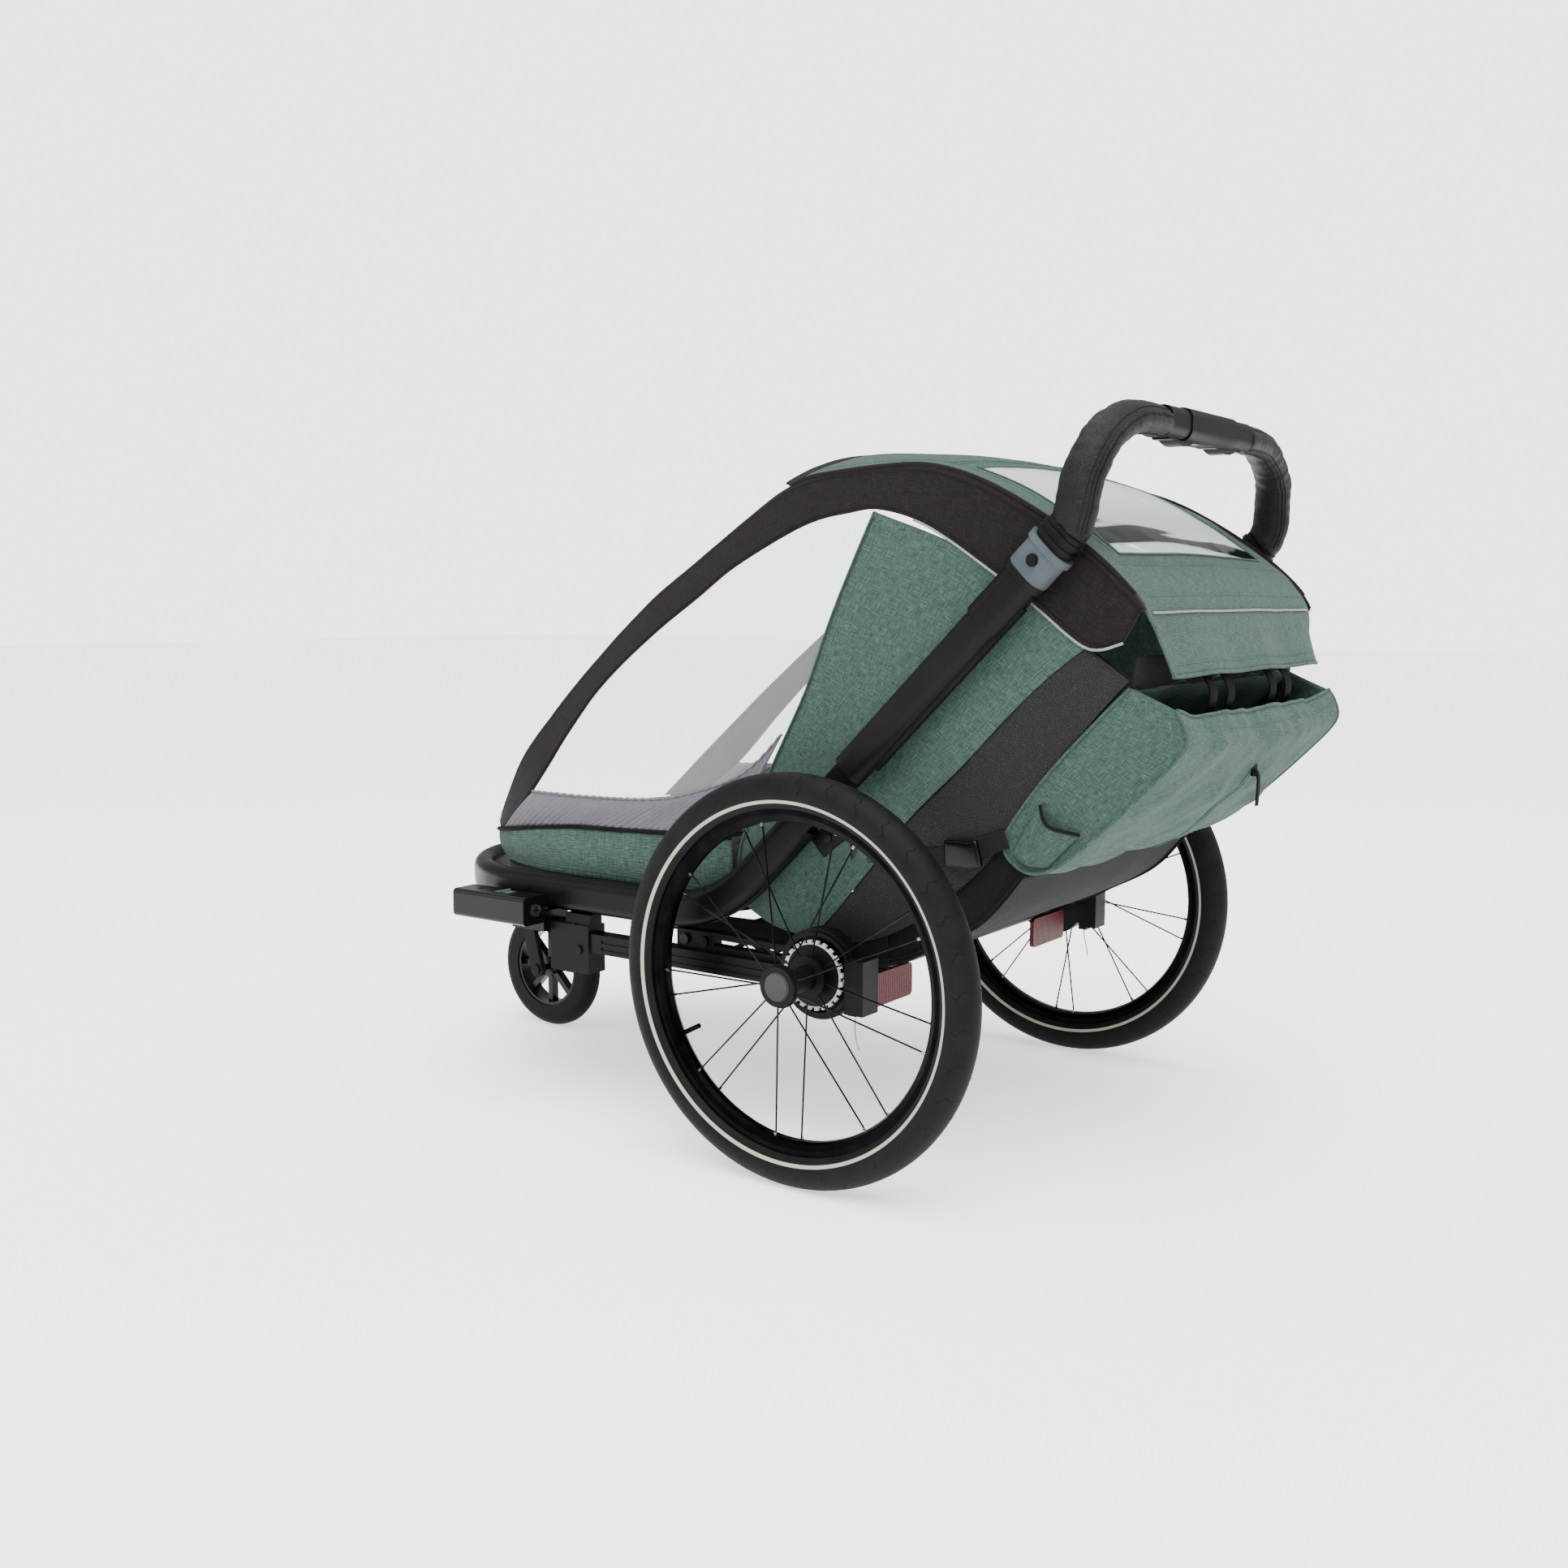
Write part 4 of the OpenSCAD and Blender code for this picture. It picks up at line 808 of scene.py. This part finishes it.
def coverZ(x):
    return cover["lowZ"] + cover["crownMm"] * (1 - (x / cover["halfWidth"]) ** 2)


rollPath = spline([(x, cover["y"], coverZ(x)) for x in np.linspace(-1, 1, 11) * cover["halfWidth"]], 90)
angle = np.linspace(0, 2 * math.pi, 20, endpoint=False)
wrap = 1 + 0.05 * np.cos(3 * angle)[None] + 0.06 * np.sin(rollPath[:, :1] / 21 +
                                                          np.sin(rollPath[:, :1] / 60) * 2 + angle[None])
section = np.stack([cover["depthMm"] * wrap * np.cos(angle), cover["heightMm"] * wrap * np.sin(angle)], 2)
roll = sweep("frontCoverRoll", rollPath, section, darkCloth, (0, 1, 0))
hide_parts("front_cover")
soften(roll)
for k, x in enumerate(cover["strapsAt"]):
    ring = [(x, cover["y"] + 18.025 * math.cos(t), coverZ(x) + 20 * math.sin(t))
            for t in np.linspace(0, 2 * math.pi * 0.98, 28)]
    soften(strap("rollStrap%d" % k, ring, 18, webbing, (1, 0, 0), 1.4, 40))
visor = up[0] + n[0] * 0.8
soften(sweep("visorSeam", visor, oval(5.0, 1.8, 10, 0.7), brownCloth, (0, -0.3, 1)))
print("roof ready")

# rear pouch: a sagging bag open at the top
pouch = {"halfWidth": 262, "wallMm": 2.0, "sagMm": 15, "foldMm": 10, "smallFoldMm": 5, "gussetDishMm": 7,
         "loopsAt": (-128, -72, 72, 128), "loopWidthMm": 24}
outside = [(-366, 606), (-330, 570), (-268, 503), (-222, 440), (-216, 418), (-226, 401), (-252, 390),
           (-290, 404), (-345, 452), (-398, 504), (-426, 535), (-433, 552),
           (-428, 570), (-420, 583)]
ring = spline([(0, y, z) for y, z in outside], 90)
xs = np.linspace(-1, 1, 110)
way = np.linspace(0, 1, 90)  # along the profile, from the cabin side round to the lip
g = []
for s in xs:
    fat = 1 - abs(s) ** 3
    depth = np.clip(way * 2.2 - 0.7, 0, 1) * np.clip((1 - way) * 5, 0.1, 1)
    lower = np.array([0, -0.62, -0.78])[None] * (depth * pouch["sagMm"] * fat)[:, None]
    row = ring + lower + (s * pouch["halfWidth"], 0, 0)
    row[:, 2] -= np.clip(way * 10 - 8.8, 0, 1) * 10 * fat  # the lip hangs a little in the middle
    g.append(row)
g = np.array(g)
away = g - np.array([0, -318, 500]) * (0, 1, 1)
away[:, :, 0] = 0
hintField = away / np.linalg.norm(away, axis=2, keepdims=True)
s = xs[:, None]
crease = folds(g, 80, 8, (1, 0.6, 0.9)) * pouch["foldMm"] + folds(g, 34, 14, (1, 0.8, 1)) * pouch["smallFoldMm"]
crease += np.sin(g[:, :, 1] / 16 + np.abs(g[:, :, 0]) / 34) * 4.0 * np.clip(np.abs(s) * 3 - 1.4, 0, 1)
crease *= 1 - np.abs(s) ** 8  # the ends stay on the gussets  # pulled folds towards the lower corners
g = g + hintField * crease[:, :, None]
pouchPiece = sheetMesh("rearPouch", g, (0, 0, -1), pouch["wallMm"], sageCloth)
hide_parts("boot_bag")
soften(pouchPiece)
for side, word in ((-1, "Left"), (1, "Right")):  # gussets close the bag's ends
    x = side * (pouch["halfWidth"] - 1.0)
    front = spline([(x, y, z) for y, z in outside[:6]], 40)
    rear = spline([(x, y, z) for y, z in outside[5:][::-1]], 40)
    e = surface([front, rear], 40, 26)
    dish = np.sin(np.linspace(0, math.pi, 26))[:, None] * np.sin(np.linspace(0.2, math.pi, 40))[None]
    e[:, :, 0] -= side * dish * pouch["gussetDishMm"]
    e = e + (folds(e, 42, 5) * 2.4 * dish)[:, :, None] * (1, 0, 0)
    soften(sheetMesh("pouchGusset" + word, e, (side, 0, 0), 1.6, sageCloth))
    seam = g[0 if side < 0 else -1] + np.array((side * 0.4, 0, 0))
    soften(sweep("pouchSeam" + word, seam, oval(1.8, 1.8, 8), sageCloth, (side, 0, 0)))
    pocketTop = [(x + side * 3, -262, 470), (x + side * 9, -275, 448), (x + side * 3, -312, 440)]
    pocketLow = [(x + side * 2, -228, 412), (x + side * 5, -246, 400), (x + side * 2, -272, 399)]
    pk = surface([pocketTop, pocketLow], 26, 12)
    soften(sheetMesh("sidePocket" + word, pk, (side, 0, 0), 1.4, sageCloth))
    soften(sweep("pocketElastic" + word, pk[0] + (side * 0.3, 0, 0), oval(2.2, 1.6, 8), darkCloth,
                 (side, 0, 0)))
lip = g[:, -1] + (0, 0, 0.5)
soften(sweep("pouchLip", lip, oval(2.4, 1.8, 10), sageCloth, (0, -1, 0)))
for name, column in (("pouchStitchTop", -4), ("pouchStitchLow", 52)):
    soften(stitches(name, [g[:, column] + hintField[:, column] * 0.4], paleThread, spacing=5.5, length=3.8,
                    radius=0.45))
zipColumn = int(np.argmin(np.abs(g[:, 0, 0] - 8)))  # zip up the middle of the rear face
zipRows = [j for j in range(40, 80) if -412 < g[zipColumn, j, 1] < -285 and g[zipColumn, j, 2] < 530]
outward = hintField[zipColumn, zipRows]
zipLine = g[zipColumn, zipRows] + outward * 1.0
soften(sweep("zipTape", zipLine, oval(3.4, 0.8, 8, 0.6), paleThread, (0, -0.62, -0.78)))
soften(stitches("zipTeeth", [zipLine + outward * 0.7], threadMat, spacing=2.6, length=1.5, radius=1.1))
pull = zipLine[-1] + outward[-1] * 3
soften(strap("zipPull", [pull, pull + (0, -4, -12), pull + (2, -2, -44)], 9, rubberMat, (0, -1, 0), 2.4))
soften(rods("zipSlider", [[pull + (0, 2, 6), pull + (0, 2, -8)]], darkSteel, 4.2, 8))
for k, x in enumerate(pouch["loopsAt"]):  # webbing loops from under the flap to the bag
    path = [(x, -366, 638), (x, -380, 633), (x, -396, 620), (x, -408, 602), (x, -408, 584), (x, -398, 566)]
    soften(strap("pouchLoop%d" % k, path, pouch["loopWidthMm"], loopWebbing, (0, -0.8, 0.6), 1.8, 40))
# dark sheet under the flap: partly the black rear wall, partly painted shade of the dark gap under the flap
back = surface([[(-262, -370, 640), (0, -372, 640), (262, -370, 640)],
                [(-262, -367, 606), (0, -368, 604), (262, -367, 606)]], 60, 8)
soften(sheetMesh("rearWallAndShade", back, (0, -1, 0), 1.4, darkCloth))

# dark sheet that closes the luggage space below
luggage = {"halfWidth": 262, "sagMm": 4, "foldMm": 2.5, "strapMm": 22, "buckleMm": (16, 3.6)}
bellyLine = [(172, 280), (100, 277), (30, 271), (-50, 262), (-120, 287), (-188, 327), (-236, 382)]
g = np.array([spline([(x, y, z) for y, z in bellyLine], 60)
              for x in np.linspace(-luggage["halfWidth"], luggage["halfWidth"], 70)])
sag = (1 - (g[:, :, 0] / luggage["halfWidth"]) ** 4) * np.sin(np.linspace(0, math.pi, 60))[None]
g[:, :, 2] -= sag * luggage["sagMm"]
g[:, :, 2] += folds(g, 90, 3) * luggage["foldMm"]
soften(sheetMesh("luggageFloor", g, (0, 0, -1), 1.6, darkCloth))
# dark skirts close the sides below the floor and below the pouch
for side, word in ((-1, "Left"), (1, "Right")):
    skirt = surface([[(side * 262, 330, 286), (side * 263, 60, 292), (side * 263, -60, 300)],
                     [(side * 260, 330, 262), (side * 261, 60, 256), (side * 260, -60, 252)]], 40, 8)
    soften(sheetMesh("underSkirt" + word, skirt, (side, 0, 0), 1.2, darkCloth))
    upper = [(side * 257, 20, 330), (side * 257, -80, 352), (side * 257, -160, 390), (side * 257, -215, 420),
             (side * 257, -258, 412)]
    lower = [(side * 258, 20, 262), (side * 258, -60, 256), (side * 258, -122, 284), (side * 258, -190, 324),
             (side * 258, -244, 388)]
    corner = surface([upper, lower], 40, 16)
    corner = corner + (folds(corner, 60, 4) * 2)[:, :, None] * (1, 0, 0)
    soften(sheetMesh("rearSkirt" + word, corner, (side, 0, 0), 1.2, darkCloth))
for side, word in ((-1, "Left"), (1, "Right")):  # side straps with their buckles
    path = [(side * 266, -222, 428), (side * 272, -150, 402), (side * 276, -70, 396), (side * 279, 10, 405)]
    soften(strap("bodyStrap" + word, path, luggage["strapMm"], webbing, (side, 0, 0), 2.0, 50))
    for k, place in enumerate(((-168, 406), (-40, 398))):
        y, z = place
        x = side * (277.5 if k else 273)
        body = [(x, y - 22, z + 3), (x, y - 8, z), (x, y + 8, z), (x, y + 22, z - 1)]
        soften(sweep("buckle%s%d" % (word, k), spline(body, 16), oval(*luggage["buckleMm"], 14, 0.45),
                     glossMould, (side, 0, 0)))
    pad = spline([(side * 281, -6, 424), (side * 281.5, 12, 412), (side * 281, 30, 396)], 14)
    soften(sweep("bowPlate" + word, pad, oval(15, 2.2, 14, 0.5), mouldMat, (side, 0, 0)))
    soften(rods("bowBolt" + word, [[(side * 281, 13, 410), (side * 286, 13, 410)]], darkSteel, 6, 6))
print("pouch ready")

# seat, cushions with sewn channels, and harness
seat = {"crownMm": 14, "grooveMm": 5}


# corner and the two edge vectors of the lower face, thickness vector
def cushion(name, corner, along, across, thick, channels, mat, crown, seed):
    corner, along, across, thick = (np.asarray(v, float) for v in (corner, along, across, thick))
    nu, nv = 56, 40
    u, v = np.linspace(0, 1, nu), np.linspace(0, 1, nv)
    uu, vv = np.meshgrid(u, v)
    rim = (1 - np.abs(2 * uu - 1) ** 10) * (1 - np.abs(2 * vv - 1) ** 8)
    groove = sum(np.exp(-((vv - c) / 0.018) ** 2) for c in channels) if channels else 0 * uu
    height = np.clip(rim, 0, 1) ** 0.35 - groove * seat["grooveMm"] / np.linalg.norm(thick) * rim
    bulge = np.sin(uu * math.pi) * np.sin(vv * math.pi) * crown / np.linalg.norm(thick)
    pull = 1 - 0.02 * np.sin(vv * math.pi)
    base = corner + (0.5 + (uu - 0.5) * pull)[:, :, None] * along + vv[:, :, None] * across
    top = base + (height * 0.5 + 0.5 + bulge)[:, :, None] * thick
    top += (folds(top, 60, seed) * 1.8 * rim)[:, :, None] * thick / np.linalg.norm(thick)
    low = base + (0.5 - 0.5 * np.clip(rim, 0, 1) ** 0.35)[:, :, None] * thick
    faces = closedFaces(nv, nu, np.cross(along, across) @ thick < 0)[1]
    uv = gridUv(top)
    return finishMesh(name, np.vstack([top.reshape(-1, 3), low.reshape(-1, 3)]), faces, np.vstack([uv, uv]),
                      mat)


bench = cushion("seatCushion", (-258, 100, 301), (516, 0, 0), (0, 228, 0), (0, 0, 58), (0.33, 0.66),
                darkCloth, seat["crownMm"], 3)
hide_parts("seat_bench")
soften(bench)
low, high = (np.array(v) * 1000 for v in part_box("seat_back"))
lean = np.array([0, -math.sin(math.radians(24)), math.cos(math.radians(24))]) * (high[2] - low[2]) * 1.04
depth = np.array([0, math.cos(math.radians(24)), math.sin(math.radians(24))]) * 20
back = cushion("seatBackCushion", (low[0] + 6, 78, 366), (high[0] - low[0] - 12, 0, 0), lean, depth,
               (0.3, 0.6, 0.82), darkCloth, 8, 6)
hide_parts("seat_back")
soften(back)
for k, x in enumerate((-175, -70, 70, 175)):
    start = np.array((x, 78, 366)) + depth * 1.75
    path = [start + lean * t + depth * (0.12 * math.sin(t * 9))
            for t in (0.95, 0.8, 0.6, 0.4, 0.25)] + [np.array((x * 0.93, 150, 374)),
                                                     np.array((x * 0.9, 190, 379))]
    soften(strap("harness%d" % k, path, 24, webbing, (0, 1, 0.4), 1.8, 50))
    pad = [start + lean * t + depth * (0.35 + 0.12 * math.sin(t * 9)) for t in (0.85, 0.7, 0.55)]
    soften(sweep("harnessPad%d" % k, spline(pad, 24), oval(19, 5.5, 16, 0.6), sageCloth, (0, 1, 0.4)))
for k, x in enumerate((-120, 120)):
    soften(sweep("harnessBuckle%d" % k, spline([(x, 176, 384), (x, 198, 384), (x, 216, 381)], 12),
                 oval(20, 5, 14, 0.5), glossMould, (0, 0, 1)))
    soften(strap("crotchStrap%d" % k, [(x, 216, 381), (x, 240, 381), (x, 268, 378)], 24, webbing, (0, 0, 1),
                 1.8, 20))

# y: half width; the edge turns up to the apron
floorEdge = {184: 269, 300: 272, 420: 270, 500: 262, 560: 246, 622: 214, 662: 172}
rows = [[(-x, y, 317), (-x + 18, y, 296), (0, y, 287), (x - 18, y, 296), (x, y, 317)] for y,
        x in floorEdge.items()]
rows.append([(-130, 681, 317), (-110, 676, 308), (0, 688, 314), (110, 676, 308), (130, 681, 317)])
g = surface(rows, 70, 60)
g = g + (folds(g, 75, 2) * 1.5)[:, :, None] * (0, 0, 1)
floorPiece = sheetMesh("floorSheet", g, (0, 0, 1), 2.5, darkCloth)
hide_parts("floor_pan")
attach(floorPiece, "frame")
print("seat ready")

# leather sleeves on the handle, wrinkled on the inside of the bend
handlePath = [(302, -308.5, 777.5), (302, -311.5, 780.5), (303.5, -314.5, 789), (304, -317.5, 799),
              (303.5, -319, 810), (301, -320.5, 824), (297, -322, 835), (292, -324, 845),
              (286, -326, 856), (276, -327, 866), (265, -328, 876), (249, -329, 886), (230, -330, 894),
              (205, -331, 902), (172, -331, 905), (130, -331, 905)]
grip = {"radialMm": 18.6, "depthMm": 24.5, "wrinkleMm": 1.0}
for side, word in ((-1, "Left"), (1, "Right")):
    path = spline(handlePath, 130) * (side, 1, 1)
    angle = np.linspace(0, 2 * math.pi, 40, endpoint=False)
    t = np.linspace(0, 1, 130)[:, None]
    wrinkle = np.array([[noise.noise(Vector((float(a) * 26, math.cos(b) * 0.9, math.sin(b) * 0.9 + side)))
                         for b in angle] for a in t[:, 0]])
    bend = np.exp(-((t - 0.5) / 0.28) ** 2)
    r = 1 + (wrinkle * grip["wrinkleMm"] * (0.4 + bend)) / 20
    r *= 1 - 0.05 * np.exp(-(t / 0.012) ** 2) - 0.06 * np.exp(-((1 - t) / 0.012) ** 2)
    section = np.stack([grip["radialMm"] * r * np.cos(angle), grip["depthMm"] * r * np.sin(angle)], 2)
    sleeve = sweep("gripSleeve" + word, path, section, leather, (0, 1, 0.3))
    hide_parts("grip_left" if side < 0 else "grip_right")
    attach(sleeve, "handle")
    v = np.array([vert.co for vert in sleeve.data.vertices]).reshape(-1, 40, 3) * 1000
    v[:, :, 1] -= axleY * 1000
    centre = v.mean(axis=1)
    for tag, column in (("A", 33), ("B", 36), ("C", 24)):
        line = centre + (v[:, column] - centre) * 1.012
        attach(stitches("gripStitch%s%s" % (word, tag), [line[3:-3]], threadMat, spacing=4.4, length=3.2,
                         radius=0.5), "handle")
    ridge = centre + (v[:, 34] - centre) * 0.995
    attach(sweep("gripSeam" + word, ridge[2:-2], oval(1.3, 1.3, 8), leather, (side, 0, 0)), "handle")
print("grips ready")

# wheels: spoke nipples and the rubber hairs on the tread
spokesPer = 18
nipple = {"fromR": 188, "toR": 201, "radiusMm": 1.9}
hairs = {"Density": 900.0, "Length": 0.005, "Radius": 0.00035}
for side, word in ((-1, "left"), (1, "right")):
    centre = np.array((side * wheelX * 1000, 0, wheelZ * 1000))
    bars = []
    for k in range(spokesPer // 2):
        for s in (-1, 1):
            a = math.radians(1.8 + 40 * k + 5 * s)
            out = np.array((0, math.sin(a), -math.cos(a)))
            ends = []
            for r in (nipple["fromR"], nipple["toR"]):
                x = side * s * (27 - 24 * (r - 26) / 175)  # spokes lean from the hub's flange to the rim
                ends.append(centre + out * r + (x, 0, 0))
            bars.append(ends)
    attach(rods("nipples" + word, bars, steelMat, nipple["radiusMm"], 6), "wheel_" + word)
    tread = bpy.data.meshes.new_from_object(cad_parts["tyre_" + word])
    tread.transform(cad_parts["tyre_" + word].matrix_world)
    strip = bpy.data.objects.new("hairs" + word, tread)
    bpy.context.scene.collection.objects.link(strip)
    grow(strip, trees["hairs"], {**hairs, "Seed": 4 if side < 0 else 9, "Material": rubberMat})
    doomed = {v.index for v in strip.data.vertices if math.hypot(v.co.y - axleY,
            v.co.z - wheelZ) < 0.229 or v.co.z < 0.012}
    bm = bmesh.new()
    bm.from_mesh(strip.data)
    drop = set()  # whole hairs go: those on the side walls and those that would meet the floor
    for face in bm.faces:
        if any(v.index in doomed for v in face.verts):
            drop.update(v.index for v in face.verts)
    again = True
    while again:
        again = False
        for e in bm.edges:
            a, b = e.verts[0].index in drop, e.verts[1].index in drop
            if a != b:
                drop.update((e.verts[0].index, e.verts[1].index))
                again = True
    bmesh.ops.delete(bm, geom=[v for v in bm.verts if v.index in drop], context="VERTS")
    bm.to_mesh(strip.data)
    bm.free()
    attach(strip, "wheel_" + word)
print("wheels ready")

# dark bar for the key slot in the lock barrel of the tow receiver: painted shade of the slot's opening
keyLow, keyHigh = (np.array(v) * 1000 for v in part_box("tow_key"))
y = keyLow[1] - axleY * 1000
cx, cz = (keyLow[0] + keyHigh[0]) / 2, (keyLow[2] + keyHigh[2]) / 2
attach(rods("keySlotShade", [[(cx - 5, y - 0.15, cz), (cx + 5, y - 0.15, cz)]], darkSteel, 0.9, 6), "tow_key")

# studio
bpy.ops.mesh.primitive_plane_add(size=40, location=(0, 0, -0.0006))
ground = bpy.context.object
ground.name = "studioFloor"
# lit from below like a light table
paper, tree, shader = newMaterial("paleStudioPaper", Roughness=0.75,
                                  **{"Base Color": colour("#fafaf9"), "Emission Color": colour("#fbfcfd"),
                                     "Emission Strength": 1.0})
where = node(tree, "ShaderNodeTexCoord").outputs["Object"]
fibres = node(tree, "ShaderNodeTexNoise", {"Vector": where, "Scale": 700.0}).outputs[0]
tree.links.new(node(tree, "ShaderNodeBump", {"Height": fibres, "Distance": 0.0001}).outputs[0],
               shader.inputs["Normal"])
ground.data.materials.append(paper)

studio = {"sun": 5.2, "sunSpread": 55, "skyLight": 0.7, "skySeen": 3.3}
lamps = {  # place and aim in metres, size, watts
    "key": ((-3.4, -1.2, 3.4), (0, 0, 0.4), 2.2, 95), "fill": ((-2.8, 3.2, 2.2), (0, 0, 0.4), 2.6, 40),
    "rim": ((2.4, -3.0, 3.2), (0, 0, 0.5), 2.0, 60), "over": ((0.4, 0.6, 4.0), (0, 0, 0.3), 2.6, 60),
}
for name, (place, aim, size, power) in lamps.items():
    data = bpy.data.lights.new(name, "AREA")
    data.shape, data.size, data.energy = "SQUARE", size, power
    lamp = bpy.data.objects.new(name, data)
    lamp.location = place
    lamp.rotation_euler = (Vector(aim) - Vector(place)).to_track_quat("-Z", "Y").to_euler()
    bpy.context.scene.collection.objects.link(lamp)
sunData = bpy.data.lights.new("softDaylight", "SUN")  # wide sun, so the paper is evenly lit to the horizon
sunData.energy, sunData.angle = studio["sun"], math.radians(studio["sunSpread"])
sun = bpy.data.objects.new("softDaylight", sunData)
sun.rotation_euler = (math.radians(16), math.radians(-20), 0)
bpy.context.scene.collection.objects.link(sun)
world = bpy.data.worlds.new("studioSky")
world.use_nodes = True
sky = world.node_tree
sky.nodes.clear()
seen = node(sky, "ShaderNodeLightPath").outputs["Is Camera Ray"]
# the backdrop looks white, the light it gives is dimmer
strength = node(sky, "ShaderNodeMapRange", {0: seen, 3: studio["skyLight"], 4: studio["skySeen"]}).outputs[0]
shade = node(sky, "ShaderNodeBackground", {"Color": colour("#fbfcfd"), "Strength": strength})
node(sky, "ShaderNodeOutputWorld", {"Surface": shade.outputs[0]})
bpy.context.scene.world = world
print("studio ready")
